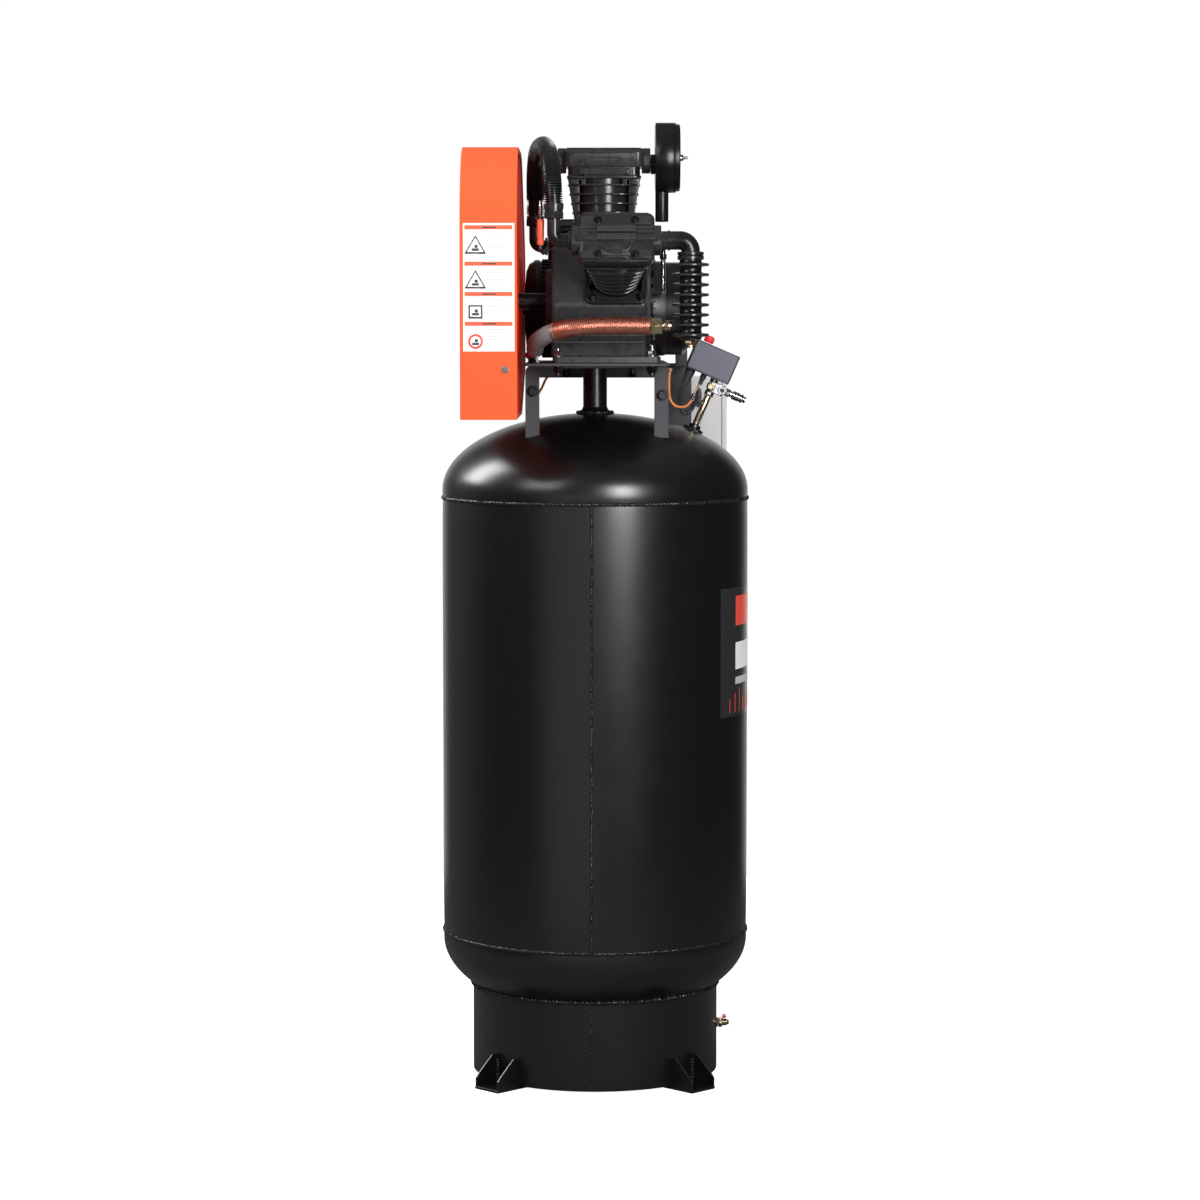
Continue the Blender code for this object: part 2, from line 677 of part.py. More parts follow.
def pressure_switch(mats):
    """Port on the tank, nipple, manifold block, then the switch: base, cover and knob."""
    place = switch_frame()
    port = [(0.017, 0.0008), (0.017, 0.008), (0.011, 0.012)]
    turned("switch_port", port, mats["black"], place, 16)
    turned("switch_nipple", [(0.007, 0.0125), (0.007, 0.0735)], mats["zinc"], place, 12)
    middle = (0.009, 0.0)
    rings = [ring(z, 0.019, 0.013, 0.005, 12, middle) for z in (0.081, 0.106)]
    manifold = solid("switch_manifold", rings, mats["steel"], place)
    join(manifold, turned("collar", [(0.0095, 0.074), (0.0095, 0.085)], mats["steel"], place, 12))
    neck = [(0.008, 0.100), (0.008, 0.109)]
    join(manifold, turned("neck", neck, mats["steel"], switch_frame(-0.001), 12))
    middle = (-0.0187, 0.0)
    rings = [ring(z, 0.0459, 0.030, 0.004, 16, middle) for z in (0.1094, 0.118)]
    base = solid("switch_base", rings, mats["plastic"], place)
    unloader = [(0.006, 0.088), (0.006, 0.112)]
    join(base, turned("unloader", unloader, mats["plastic"], switch_frame(-0.024), 12))
    gland = [(0.0075, 0.075), (0.010, 0.092), (0.010, 0.112)]
    join(base, turned("gland", gland, mats["plastic"], switch_frame(-0.052), 12))
    rings = [ring(z, 0.0459, 0.032, 0.004, 16, middle) for z in (0.1184, 0.1700)]
    solid("switch_cover", rings, mats["plastic"], place)
    knob = [(0.0090, 0.0), (0.0095, 0.012), (0.0075, 0.0145)]
    turned("switch_knob", knob, mats["red"], switch_frame(-0.042, 0.1704), 12)


def safety_valve(mats):
    """Brass valve out of the manifold's near face, with its pull ring ahead of it."""
    place = switch_frame(-0.003, 0.0936) @ along_y(0.0, -0.0134, 0.0)
    body = [(0.0085, 0.0), (0.0085, 0.007), (0.0065, 0.007), (0.0065, 0.018)]
    turned("safety_valve", body, mats["brass"], place, 12)
    ring_place = place @ Matrix.Translation((0.0, 0.0, 0.0188))
    loop = [(0.006, 0.0), (0.006, 0.002), (0.003, 0.002), (0.003, 0.0)]
    turned("safety_ring", loop, mats["zinc"], ring_place, 12, closed=True)


def quick_coupler(mats):
    """The outlet: a body with a sliding sleeve."""
    place = switch_frame(0.0284, 0.095) @ Matrix.Rotation(radians(90), 4, "Y")
    body = [(0.0080, 0.0), (0.0080, 0.010), (0.0055, 0.010), (0.0055, 0.043)]
    turned("coupler_body", body, mats["chrome"], place, 12)
    sleeve = place @ Matrix.Translation((0.0, 0.0, 0.0150))
    profile = [(0.0088, 0.0), (0.0088, 0.022), (0.0060, 0.022), (0.0060, 0.0)]
    turned("coupler_sleeve", profile, mats["chrome"], sleeve, 16, closed=True)


def lines(mats):
    """The unloader tube from switch to check valve, and the switch's cable to the starter box."""
    check_x, check_y = CHECK_VALVE_XY
    tube = [
        (0.2055, 0.0, 1.3708),
        (0.1970, 0.0, 1.3530),
        (0.1880, 0.0, 1.3375),
        (0.1735, 0.0, 1.3285),
        (0.1560, 0.0, 1.3305),
        (0.1470, 0.0, 1.3480),
        (0.1465, 0.0, 1.3800),
        (0.1490, 0.030, 1.3990),
        (0.1520, 0.150, 1.4010),
        (0.1250, 0.200, 1.4010),
        (0.0000, 0.205, 1.4000),
        (-0.0850, 0.195, 1.3930),
        (-0.1100, 0.150, 1.3600),
        (check_x, 0.090, 1.3300),
        (check_x, check_y + 0.0125, 1.3250),
    ]
    swept("unloader_tube", through(tube, 0.0025, 2), mats["orange"], 6)
    cable = [
        (0.1754, 0.0, 1.3715),
        (0.1690, 0.003, 1.3540),
        (0.1690, 0.011, 1.3320),
        (0.1780, 0.014, 1.3160),
        (0.1930, 0.018, 1.3260),
        (0.2030, 0.060, 1.3550),
        (0.2100, 0.150, 1.3600),
        (0.2150, 0.260, 1.3440),
        (0.2155, 0.3410, 1.3290),
    ]
    swept("switch_cable", through(cable, 0.0045, 2), mats["plastic"], 6)


# ---------------------------------------------------------------- motor, belt and guard


def motor(mats):
    """Housing pocketed for the rotor, standing on a foot, with a terminal box low on its far side."""
    place = along_x(0.0, MOTOR_Y, MOTOR_Z)
    profile = [
        (0.0135, -0.1425),
        (0.040, -0.1425),
        (0.090, -0.136),
        (MOTOR_RADIUS, -0.126),
        (MOTOR_RADIUS, 0.135),
        (0.094, 0.150),
        (0.094, 0.183),
        (0.080, 0.186),
        (0.040, 0.186),
        (0.040, 0.180),
        (0.088, 0.178),
        (0.088, -0.118),
        (0.0135, -0.127),
    ]
    made = turned("motor_housing", profile, mats["motor"], place, closed=True)
    low = (-0.040, MOTOR_Y - 0.075, PLATE_TOP + GAP)
    join(made, block("base", low, (0.115, MOTOR_Y + 0.075, 1.4300), mats["motor"]))
    join(made, block("terminal_box", (0.165, 0.2745, 1.4040), (0.190, 0.3040, 1.4660), mats["motor"]))
    join(made, block("conduit_neck", (0.168, 0.2660, 1.4500), (0.182, 0.2850, 1.4640), mats["motor"]))
    shaft = [(0.0120, -0.236), (0.0120, -0.050), (0.055, -0.050), (0.055, 0.090), (0.0120, 0.090)]
    shaft += [(0.0120, 0.155), (0.076, 0.155), (0.076, 0.170), (0.0100, 0.170)]
    turned("motor_rotor", shaft, mats["steel"], place, 16)
    low, high = BELT_X
    turned(
        "motor_pulley",
        [(0.0125, low), (0.0125, high), (PULLEY_RADIUS, high), (PULLEY_RADIUS, low)],
        mats["cast"],
        place,
        closed=True,
    )


def belt_outline(extra, steps=12):
    """The loop round both pulleys in YZ, this far outside their rims."""
    span = Vector((MOTOR_Y - CRANK_Y, MOTOR_Z - CRANK_Z))
    slope = span.angle_signed(Vector((1.0, 0.0)))
    lead = pi / 2 - (FLYWHEEL_RADIUS - PULLEY_RADIUS) / span.length
    large = FLYWHEEL_RADIUS + extra
    small = PULLEY_RADIUS + extra
    points = []
    for i in range(2 * steps + 1):
        angle = slope + lead + (2 * pi - 2 * lead) * i / (2 * steps)
        points.append((CRANK_Y + large * cos(angle), CRANK_Z + large * sin(angle)))
    for i in range(steps + 1):
        angle = slope - lead + 2 * lead * i / steps
        points.append((MOTOR_Y + small * cos(angle), MOTOR_Z + small * sin(angle)))
    return points


def yz_prism(name, outline, low, high, mat):
    """An outline of (y, z) points drawn out along world X."""
    place = Matrix(((0, 0, 1, 0), (1, 0, 0, 0), (0, 1, 0, 0), (0, 0, 0, 1)))
    return prism(name, outline, low, high, mat, place)


def drive_belt(mat):
    low, high = BELT_X
    inner = belt_outline(0.0030)
    outer = belt_outline(0.0110)
    rings = []
    left = low + 0.003
    right = high - 0.003
    for x, outline in ((left, outer), (right, outer), (right, inner), (left, inner)):
        rings.append([Vector((x, y, z)) for y, z in outline])
    solid("drive_belt", rings, mat, closed=True)


def arc(centre, radius, start, end, steps=6):
    turns = [radians(start + (end - start) * i / steps) for i in range(steps + 1)]
    return [(centre[0] + radius * cos(a), centre[1] + radius * sin(a)) for a in turns]


def guard_outline(inset):
    """The guard in YZ: high round the flywheel, narrowing to the motor pulley."""
    near = -0.420 + inset
    rear = 0.300 - inset
    top = GUARD_TOP - inset
    bottom = GUARD_BOTTOM + inset
    outline = [(near, bottom), (-0.020, bottom), (rear, bottom + 0.090)]
    outline += arc((rear - 0.110, 1.570), 0.110, 0, 60)
    outline += arc((-0.060, top - 0.200), 0.200, 60, 90, 3)
    outline += arc((near + 0.150, top - 0.150), 0.150, 90, 180)
    return outline


def belt_guard(mats):
    """A folded sheet cover open towards the pump, closed on that side by a mesh panel."""
    low, high = GUARD_X
    made = yz_prism("guard_cover", guard_outline(0.0), low, high, mats["guard"])
    cut(made, yz_prism("inside", guard_outline(0.002), low + 0.002, high + 0.02, mats["guard"]))
    panel = yz_prism("guard_panel", guard_outline(0.0025), high - 0.0035, high - 0.0015, mats["guard"])
    for y, z, radius in ((CRANK_Y, CRANK_Z, 0.030), (MOTOR_Y, MOTOR_Z, 0.045)):
        hole = [(radius, -0.02), (radius, 0.02)]
        cut(panel, turned("hole", hole, mats["guard"], along_x(high, y, z), 20))


# ---------------------------------------------------------------- starter box


def starter(mats):
    """A sheet-steel box hung beside the platform on an angle bracket, with a hinged cover facing +X."""
    made = block("starter_box", (0.1555, 0.342, 1.184), (0.2630, 0.452, 1.384), mats["box"])
    cut(made, block("inside", (0.1575, 0.344, 1.186), (0.28, 0.450, 1.382), mats["box"]))
    hinge = Matrix.Translation((0.2636, 0.4526, 1.284))
    block("starter_cover", (0.0, -0.111, -0.1005), (0.010, 0.0, 0.1005), mats["box"], hinge)
    outline = [(0.1430, 0.2250), (0.1470, 0.2250), (0.1470, 0.3370)]
    outline += [(0.2000, 0.3370), (0.2000, 0.3410), (0.1430, 0.3410)]
    prism("starter_bracket", outline, 1.240, 1.4115, mats["grey"])


def main():
    for old in list(bpy.data.objects):
        bpy.data.objects.remove(old, do_unlink=True)
    mats = {
        "black": material("black_paint", (0.012, 0.012, 0.013), 0.30),
        "cast": material("cast_black", (0.018, 0.018, 0.019), 0.50),
        "grey": material("grey_paint", (0.09, 0.09, 0.095), 0.45),
        "satin": material("satin_black", (0.010, 0.010, 0.011), 0.35),
        "motor": material("motor_black", (0.020, 0.020, 0.021), 0.40),
        "guard": material("orange_paint", (0.86, 0.14, 0.035), 0.30),
        "box": material("warm_grey_paint", (0.56, 0.53, 0.55), 0.40),
        "steel": material("machined_steel", (0.45, 0.45, 0.46), 0.30, 1.0),
        "chrome": material("chrome", (0.75, 0.75, 0.76), 0.12, 1.0),
        "zinc": material("yellow_zinc", (0.80, 0.74, 0.48), 0.25, 1.0),
        "brass": material("brass", (0.75, 0.52, 0.25), 0.28, 1.0),
        "copper": material("copper", (0.82, 0.34, 0.20), 0.30, 1.0),
        "plastic": material("black_plastic", (0.025, 0.025, 0.028), 0.45),
        "red": material("red_plastic", (0.65, 0.02, 0.03), 0.35),
        "orange": material("orange_tube", (0.80, 0.18, 0.04), 0.35),
        "rubber": material("belt_rubber", (0.02, 0.02, 0.02), 0.75),
    }
    tank(mats["black"])
    base_ring(mats["black"])
    for i in range(4):
        foot(f"foot_{i + 1}", 45 + 90 * i, mats["black"])
    drain(mats)
    platform(mats)
    pump(mats)
    intercooler(mats["cast"])
    air_filter(mats)
    aftercooler(mats["cast"])
    discharge(mats)
    pressure_switch(mats)
    safety_valve(mats)
    quick_coupler(mats)
    lines(mats)
    motor(mats)
    drive_belt(mats["rubber"])
    belt_guard(mats)
    starter(mats)


main()
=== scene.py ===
"""Looks of the vertical tank compressor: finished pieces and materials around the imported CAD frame."""

import random
from math import cos, exp, pi, radians, sin, sqrt

import bmesh
import bpy
from mathutils import Matrix, Vector


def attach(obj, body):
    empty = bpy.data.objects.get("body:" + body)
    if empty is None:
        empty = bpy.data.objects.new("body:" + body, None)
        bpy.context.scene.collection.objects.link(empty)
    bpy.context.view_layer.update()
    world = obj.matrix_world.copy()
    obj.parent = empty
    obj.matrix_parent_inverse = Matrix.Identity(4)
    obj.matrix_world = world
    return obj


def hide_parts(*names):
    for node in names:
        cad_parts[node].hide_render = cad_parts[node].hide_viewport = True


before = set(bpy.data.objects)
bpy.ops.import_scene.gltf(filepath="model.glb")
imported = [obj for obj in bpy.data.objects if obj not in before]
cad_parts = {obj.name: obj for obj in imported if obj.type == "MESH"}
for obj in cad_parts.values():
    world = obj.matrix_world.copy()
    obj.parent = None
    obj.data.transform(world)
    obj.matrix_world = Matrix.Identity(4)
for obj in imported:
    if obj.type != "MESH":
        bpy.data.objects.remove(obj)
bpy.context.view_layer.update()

ROOT = "frame"
FILL = 0.46
GAP = 0.0004
TURN_OVER = Matrix.Rotation(pi, 4, "X")
SWAP_XZ = Matrix(((0, 0, 1, 0), (0, 1, 0, 0), (1, 0, 0, 0), (0, 0, 0, 1)))

# Tank
TANK_RADIUS = 0.3030
SEAM_LOW, SEAM_HIGH = 0.287, 1.150
SEAM_ANGLE = radians(-91.2)
HEAD_FLANGE, HEAD_RISE = 0.0152, 0.1518
RING_RADIUS, RING_BOTTOM, RING_TOP = 0.2443, 0.006, 0.177
FOOT_REACH, FOOT_WIDTH, FOOT_PLATE = 0.300, 0.066, 0.0055

# Platform
PLATE_BOTTOM, PLATE_TOP = 1.4125, 1.4178
PLATE_X = (-0.1345, 0.142)
PLATE_Y = (-0.285, 0.335)
LEG_INNER, LEG_DEPTH, BAR = 0.110, 0.060, 0.005
LEG_FOOT_Z = 1.273

# Pump
CRANK_Y, CRANK_Z = -0.170, 1.536
BANK_ANGLE = radians(65)
CYLINDER_FOOT, DECK, HEAD_TOP = 0.106, 0.2335, 0.2925
PORT_HEIGHT = 0.262
BORE = 0.0462
BASE_TOP = 1.4306
BANKS = {
    "near": (0.040, BANK_ANGLE, 0.0720),
    "centre": (0.0175, 0.0, 0.0775),
    "far": (-0.005, -BANK_ANGLE, 0.0775),
}

# Drive
MOTOR_Y, MOTOR_Z, MOTOR_RADIUS = 0.200, 1.524, 0.100
MOTOR_FOOT_TOP = 1.4290
FLYWHEEL_RADIUS, PULLEY_RADIUS = 0.178, 0.060
BELT_X = (-0.226, -0.184)
GUARD_X = (-0.2504, -0.1440)
GUARD_Y = (-0.420, 0.300)
GUARD_BOTTOM, GUARD_TOP = 1.3145, 1.8258

# Air side
FILTER_RADIUS, FILTER_Z = 0.067, 1.8104
COOLER_X, DISC_PITCH, DISC_TOP = 0.178, 0.01855, 1.602
DISCHARGE_Z = 1.489
CHECK_VALVE_XY = (-0.126, 0.050)

# Pressure switch group
SWITCH_X, SWITCH_Z, SWITCH_TILT = 0.1943, 1.2828, radians(23.5)
DRAIN_Z = 0.093
DRAIN_VALVE_X = 0.2592

# Camera
CAMERA_LENS, SENSOR_WIDTH = 101.27, 36.0
CAMERA_PLACE = (0.0098, -6.7, 1.4899)
CAMERA_PITCH = 4.652


# ---------------------------------------------------------------- materials


class Nodes:
    """A short way to build a shader graph."""

    def __init__(self, name):
        self.material = bpy.data.materials.new(name)
        self.material.use_nodes = True
        self.tree = self.material.node_tree
        self.shader = self.tree.nodes["Principled BSDF"]
        self.position = self.add("ShaderNodeTexCoord").outputs["Object"]

    def add(self, kind, **settings):
        node = self.tree.nodes.new(kind)
        for key, value in settings.items():
            setattr(node, key, value)
        return node

    def link(self, source, node, socket):
        self.tree.links.new(source, node.inputs[socket])

    def noise(self, scale, detail=3.0, roughness=0.55):
        node = self.add("ShaderNodeTexNoise")
        node.inputs["Scale"].default_value = scale
        node.inputs["Detail"].default_value = detail
        node.inputs["Roughness"].default_value = roughness
        self.link(self.position, node, "Vector")
        return node.outputs["Fac"]

    def spread(self, source, low, high, start=0.35, end=0.65):
        node = self.add("ShaderNodeMapRange")
        for socket, value in zip(("From Min", "From Max", "To Min", "To Max"), (start, end, low, high)):
            node.inputs[socket].default_value = value
        self.link(source, node, "Value")
        return node.outputs["Result"]

    def mix(self, factor, first, second):
        node = self.add("ShaderNodeMix", data_type="RGBA")
        self.link(factor, node, "Factor")
        for socket, value in (("A", first), ("B", second)):
            target = next(i for i in node.inputs if i.name == socket and i.type == "RGBA")
            if isinstance(value, tuple):
                target.default_value = (*value, 1.0)
            else:
                self.tree.links.new(value, target)
        return next(o for o in node.outputs if o.type == "RGBA")

    def edges(self, low=0.505, high=0.54):
        """1 on sharp convex edges, 0 elsewhere."""
        pointiness = self.add("ShaderNodeNewGeometry").outputs["Pointiness"]
        return self.spread(pointiness, 0.0, 1.0, low, high)

    def bump(self, *layers):
        """Stack (height, strength, distance) layers on the normal."""
        normal = None
        for height, strength, distance in layers:
            node = self.add("ShaderNodeBump")
            node.inputs["Strength"].default_value = strength
            node.inputs["Distance"].default_value = distance
            self.link(height, node, "Height")
            if normal:
                self.link(normal, node, "Normal")
            normal = node.outputs["Normal"]
        self.link(normal, self.shader, "Normal")

    def set(self, socket, value):
        self.shader.inputs[socket].default_value = value


def paint(name, colour, roughness, worn=None, peel=0.08, grime=0.25, gloss=0.5, uneven=0.2):
    """Sprayed paint: slight orange peel, uneven gloss, a little grime, and edges rubbed towards worn."""
    made = Nodes(name)
    patches = made.noise(7.0, 4.0)
    dark = tuple(c * (1 - grime) for c in colour)
    base = made.mix(made.spread(patches, 0.0, 1.0, 0.3, 0.7), dark, colour)
    if worn:
        base = made.mix(made.edges(), base, worn)
    made.link(base, made.shader, "Base Color")
    rough = made.spread(made.noise(22.0, 5.0), roughness * (1 - uneven * 0.75), roughness * (1 + uneven))
    made.link(rough, made.shader, "Roughness")
    made.bump((made.noise(420.0, 2.0), peel, 0.0006), (made.noise(14.0, 2.0), peel * 0.6, 0.003))
    made.set("Specular IOR Level", gloss)
    return made.material


def cast_iron(name, colour, roughness=0.42, grain=0.55):
    """Painted sand casting: coarse grain, dull hollows and polished high spots, with edges drawn lighter
    partly as rubbed paint and partly as painted glints.
    """
    made = Nodes(name)
    grains = made.noise(330.0, 4.0, 0.7)
    lumps = made.noise(70.0, 3.0)
    base = made.mix(made.spread(grains, 0.0, 1.0), tuple(c * 0.6 for c in colour),
                    tuple(c * 1.5 for c in colour))
    # Lighter edges: partly rubbed paint, partly painted glints.
    base = made.mix(made.edges(0.51, 0.56), base, tuple(min(1.0, c * 3.0 + 0.008) for c in colour))
    made.link(base, made.shader, "Base Color")
    made.link(made.spread(lumps, roughness * 0.7, roughness * 1.35), made.shader, "Roughness")
    made.bump((grains, grain, 0.0011), (lumps, grain * 0.5, 0.0022))
    made.set("Specular IOR Level", 0.6)
    return made.material


def metal(name, colour, roughness, tarnish=None, grain=0.06):
    """Machined or plated metal, with fine tool marks and cloudy tarnish."""
    made = Nodes(name)
    marks = made.noise(260.0, 3.0, 0.6)
    clouds = made.noise(45.0, 4.0)
    dull = tarnish or tuple(c * 0.72 for c in colour)
    base = made.mix(made.spread(clouds, 0.0, 1.0, 0.42, 0.68), colour, dull)
    made.link(base, made.shader, "Base Color")
    made.link(made.spread(marks, roughness * 0.7, roughness * 1.4), made.shader, "Roughness")
    made.bump((marks, grain, 0.0004))
    made.set("Metallic", 1.0)
    return made.material


def plastic(name, colour, roughness, texture=0.12):
    """Moulded plastic with a fine spark-eroded texture and lighter scuffed edges."""
    made = Nodes(name)
    fine = made.noise(600.0, 2.0)
    base = made.mix(made.edges(), colour, tuple(min(1.0, c * 1.6 + 0.02) for c in colour))
    made.link(base, made.shader, "Base Color")
    made.link(made.spread(made.noise(30.0), roughness * 0.85, roughness * 1.15), made.shader, "Roughness")
    made.bump((fine, texture, 0.0003))
    return made.material


def weld_bead(name, colour):
    """Painted weld: glossy, with ripples strong enough to sparkle."""
    made = Nodes(name)
    ripple = made.noise(160.0, 3.0, 0.6)
    made.link(made.mix(made.spread(ripple, 0.0, 1.0), colour, tuple(c * 2.2 + 0.01 for c in colour)),
              made.shader, "Base Color")
    made.link(made.spread(ripple, 0.16, 0.34), made.shader, "Roughness")
    made.bump((ripple, 0.6, 0.0016))
    return made.material


def make_materials():
    black = (0.0046, 0.0046, 0.0052)
    return {
        "tank": paint("tank_paint", black, 0.29, peel=0.04, grime=0.1, gloss=0.9, uneven=0.05),
        "weld": weld_bead("tank_weld", (0.006, 0.006, 0.007)),
        "cast": cast_iron("pump_casting", (0.0085, 0.0085, 0.0094), 0.30, 0.06),
        # case: the casting paint made about two and a half times lighter for the crankcase, a painted sheen
        # standing in for the soft light on its front.
        "case": cast_iron("case_casting_painted_sheen", (0.0210, 0.0210, 0.0230), 0.34, 0.12),
        "cast_fine": cast_iron("fine_casting", (0.0056, 0.0056, 0.0064), 0.22, 0.08),
        "grey": paint("platform_paint", (0.029, 0.029, 0.036), 0.40, worn=(0.09, 0.09, 0.10), peel=0.12,
                      gloss=0.2),
        "satin": paint("filter_paint", (0.0070, 0.0070, 0.0082), 0.28, peel=0.06),
        "motor": paint("motor_paint", (0.012, 0.012, 0.013), 0.36, peel=0.12),
        "guard": paint("guard_paint", (0.90, 0.055, 0.008), 0.46, worn=(0.93, 0.13, 0.04), peel=0.10,
                       grime=0.05, gloss=0.15),
        "mesh": paint("mesh_paint", (0.95, 0.045, 0.022), 0.46, peel=0.10, gloss=0.15),
        "box": paint("starter_paint", (0.70, 0.67, 0.69), 0.42, worn=(0.80, 0.78, 0.78), peel=0.15,
                     grime=0.06),
        "terminal": paint("terminal_paint", (0.16, 0.17, 0.17), 0.45, peel=0.15),
        # The terminal box body is a darker copy of its lid's paint: painted shade under the lid.
        "terminal_shaded": paint("terminal_box_shaded_paint", (0.075, 0.085, 0.080), 0.45, peel=0.15),
        "alloy": metal("cast_alloy", (0.50, 0.50, 0.52), 0.34, (0.26, 0.26, 0.28), grain=0.3),
        "chrome": metal("chrome", (0.80, 0.80, 0.82), 0.10, (0.60, 0.60, 0.63), grain=0.02),
        "bolt": metal("bright_zinc", (0.72, 0.72, 0.74), 0.22, (0.50, 0.50, 0.53)),
        "black_bolt": metal("black_oxide", (0.06, 0.06, 0.065), 0.34),
        "zinc": metal("yellow_zinc", (0.86, 0.83, 0.60), 0.20, (0.66, 0.58, 0.34)),
        "brass": metal("brass", (0.76, 0.60, 0.40), 0.24, (0.52, 0.38, 0.22)),
        "copper": metal("copper", (0.92, 0.46, 0.35), 0.34, (0.80, 0.38, 0.28), grain=0.02),
        "sleeve": plastic("clear_sleeve", (0.17, 0.165, 0.165), 0.28),
        "plastic": plastic("black_plastic", (0.018, 0.018, 0.021), 0.42),
        "switch_face": plastic("switch_face", (0.066, 0.067, 0.096), 0.34, 0.05),
        "red": plastic("red_plastic", (0.70, 0.015, 0.03), 0.26, 0.03),
        "orange": plastic("orange_tube", (0.85, 0.21, 0.05), 0.28, 0.02),
        "cap": plastic("orange_cap", (0.85, 0.075, 0.03), 0.36, 0.04),
        "white": plastic("label_white", (0.80, 0.80, 0.80), 0.38, 0.02),
        "print_orange": plastic("label_orange", (0.80, 0.075, 0.025), 0.38, 0.02),
        "print_grey": plastic("label_grey", (0.38, 0.38, 0.40), 0.42, 0.02),
        "print_black": plastic("label_black", (0.03, 0.03, 0.035), 0.40, 0.02),
        "decal": plastic("tank_decal", (0.006, 0.006, 0.007), 0.22, 0.01),
        "decal_red": plastic("tank_decal_red", (0.70, 0.04, 0.02), 0.26, 0.01),
        "rubber": plastic("belt_rubber", (0.014, 0.014, 0.014), 0.72, 0.4),
        "glass": plastic("sight_glass", (0.55, 0.36, 0.10), 0.08, 0.0),
    }


MATERIALS = make_materials()


# ---------------------------------------------------------------- shapes


def link(name, mesh, mat, place=None, body=ROOT, smooth=True, bevel=0.0, segments=2):
    """Puts a mesh in the scene as a visible piece on a body. A piece named NODE_v replaces that CAD node."""
    made = bpy.data.objects.new(name, mesh)
    bpy.context.scene.collection.objects.link(made)
    mesh.materials.append(MATERIALS[mat])
    if place:
        mesh.transform(place)
    if smooth:
        mesh.shade_smooth()
    if bevel:
        modifier = made.modifiers.new("Bevel", "BEVEL")
        modifier.width = bevel
        modifier.segments = segments
        modifier.limit_method = "ANGLE"
        modifier.angle_limit = radians(35)
        modifier.harden_normals = True
    if smooth:
        mark_sharp(mesh)
    bpy.context.view_layer.update()
    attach(made, body)
    if name.endswith("_v"):
        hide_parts(name.removesuffix("_v"))
    return made


def mark_sharp(mesh, angle=radians(38)):
    """Splits shading at edges sharper than the angle."""
    shape = bmesh.new()
    shape.from_mesh(mesh)
    for edge in shape.edges:
        edge.smooth = len(edge.link_faces) != 2 or edge.calc_face_angle(0.0) < angle
    shape.to_mesh(mesh)
    shape.free()


def finish_mesh(name, shape):
    bmesh.ops.recalc_face_normals(shape, faces=shape.faces)
    if shape.calc_volume(signed=True) < 0:
        bmesh.ops.reverse_faces(shape, faces=shape.faces)
    mesh = bpy.data.meshes.new(name)
    shape.to_mesh(mesh)
    shape.free()
    return mesh


def ring(z, half_x, half_y=None, corner=None, sides=48, at=(0.0, 0.0)):
    """Points of a rounded rectangle at height z; a circle when only half_x is given."""
    half_y = half_x if half_y is None else half_y
    corner = min(half_x, half_y) if corner is None else corner
    points = []
    for i in range(sides):
        angle = (i + 0.5) * 2 * pi / sides
        x = corner * cos(angle)
        y = corner * sin(angle)
        x += (half_x - corner) * (1 if x > 0 else -1)
        y += (half_y - corner) * (1 if y > 0 else -1)
        points.append(Vector((x + at[0], y + at[1], z)))
    return points


def through_rings(rings, closed=False):
    shape = bmesh.new()
    rows = [[shape.verts.new(point) for point in points] for points in rings]
    pairs = list(zip(rows, rows[1:]))
    if closed:
        pairs.append((rows[-1], rows[0]))
    else:
        shape.faces.new(rows[0])
        shape.faces.new(rows[-1])
    for low, high in pairs:
        count = len(low)
        for i in range(count):
            j = (i + 1) % count
            shape.faces.new((low[i], low[j], high[j], high[i]))
    return shape


def solid(name, rings, mat, place=None, closed=False, **more):
    return link(name, finish_mesh(name, through_rings(rings, closed)), mat, place, **more)


def turned(name, profile, mat, place=None, sides=48, closed=False, **more):
    """A turned piece: profile is (radius, height) pairs."""
    rings = [ring(height, radius, sides=sides) for radius, height in profile]
    return solid(name, rings, mat, place, closed, **more)


def rod(name, radius, low, high, mat, place, sides=48, **more):
    turned(name, [(radius, low), (radius, high)], mat, place, sides, **more)


def prism(name, outline, low, high, mat, place=None, **more):
    rings = [[Vector((x, y, z)) for x, y in outline] for z in (low, high)]
    return solid(name, rings, mat, place, **more)


def block(name, low, high, mat, place=None, bevel=0.001, **more):
    outline = [(low[0], low[1]), (high[0], low[1]), (high[0], high[1]), (low[0], high[1])]
    return prism(name, outline, low[2], high[2], mat, place, bevel=bevel, **more)


def frames_along(points):
    """(point, side, up) at each point of a path, without twist."""
    ahead = []
    for i, point in enumerate(points):
        before = next((p for p in reversed(points[:i]) if (p - point).length > 1e-6), point)
        after = next((p for p in points[i + 1 :] if (p - point).length > 1e-6), point)
        ahead.append(((point - before).normalized() + (after - point).normalized()).normalized())
    side = ahead[0].orthogonal().normalized()
    found = []
    for point, forward in zip(points, ahead):
        side = (side - forward * side.dot(forward)).normalized()
        found.append((point, side, forward.cross(side)))
    return found


def swept(name, stations, mat, sides=24, **more):
    """A round piece along a path of (point, radius); a repeated point steps the radius."""
    points = [Vector(point) for point, _ in stations]
    rings = []
    for (point, side, up), (_, radius) in zip(frames_along(points), stations):
        turns = [2 * pi * i / sides for i in range(sides)]
        rings.append([point + (side * cos(a) + up * sin(a)) * radius for a in turns])
    return solid(name, rings, mat, **more)


def pipe(name, path, radius, mat, sides=24, **more):
    return swept(name, [(point, radius) for point in path], mat, sides, **more)


def smooth_path(points, steps=8):
    path = [Vector(point) for point in points]
    ends = [path[0] * 2 - path[1]] + path + [path[-1] * 2 - path[-2]]
    found = []
    for i in range(len(path) - 1):
        a, b, c, d = ends[i : i + 4]
        for step in range(steps):
            t = step / steps
            curve = b * 2 + (c - a) * t + (a * 2 - b * 5 + c * 4 - d) * t**2
            curve += (b * 3 - a - c * 3 + d) * t**3
            found.append(curve / 2)
    found.append(path[-1])
    return found


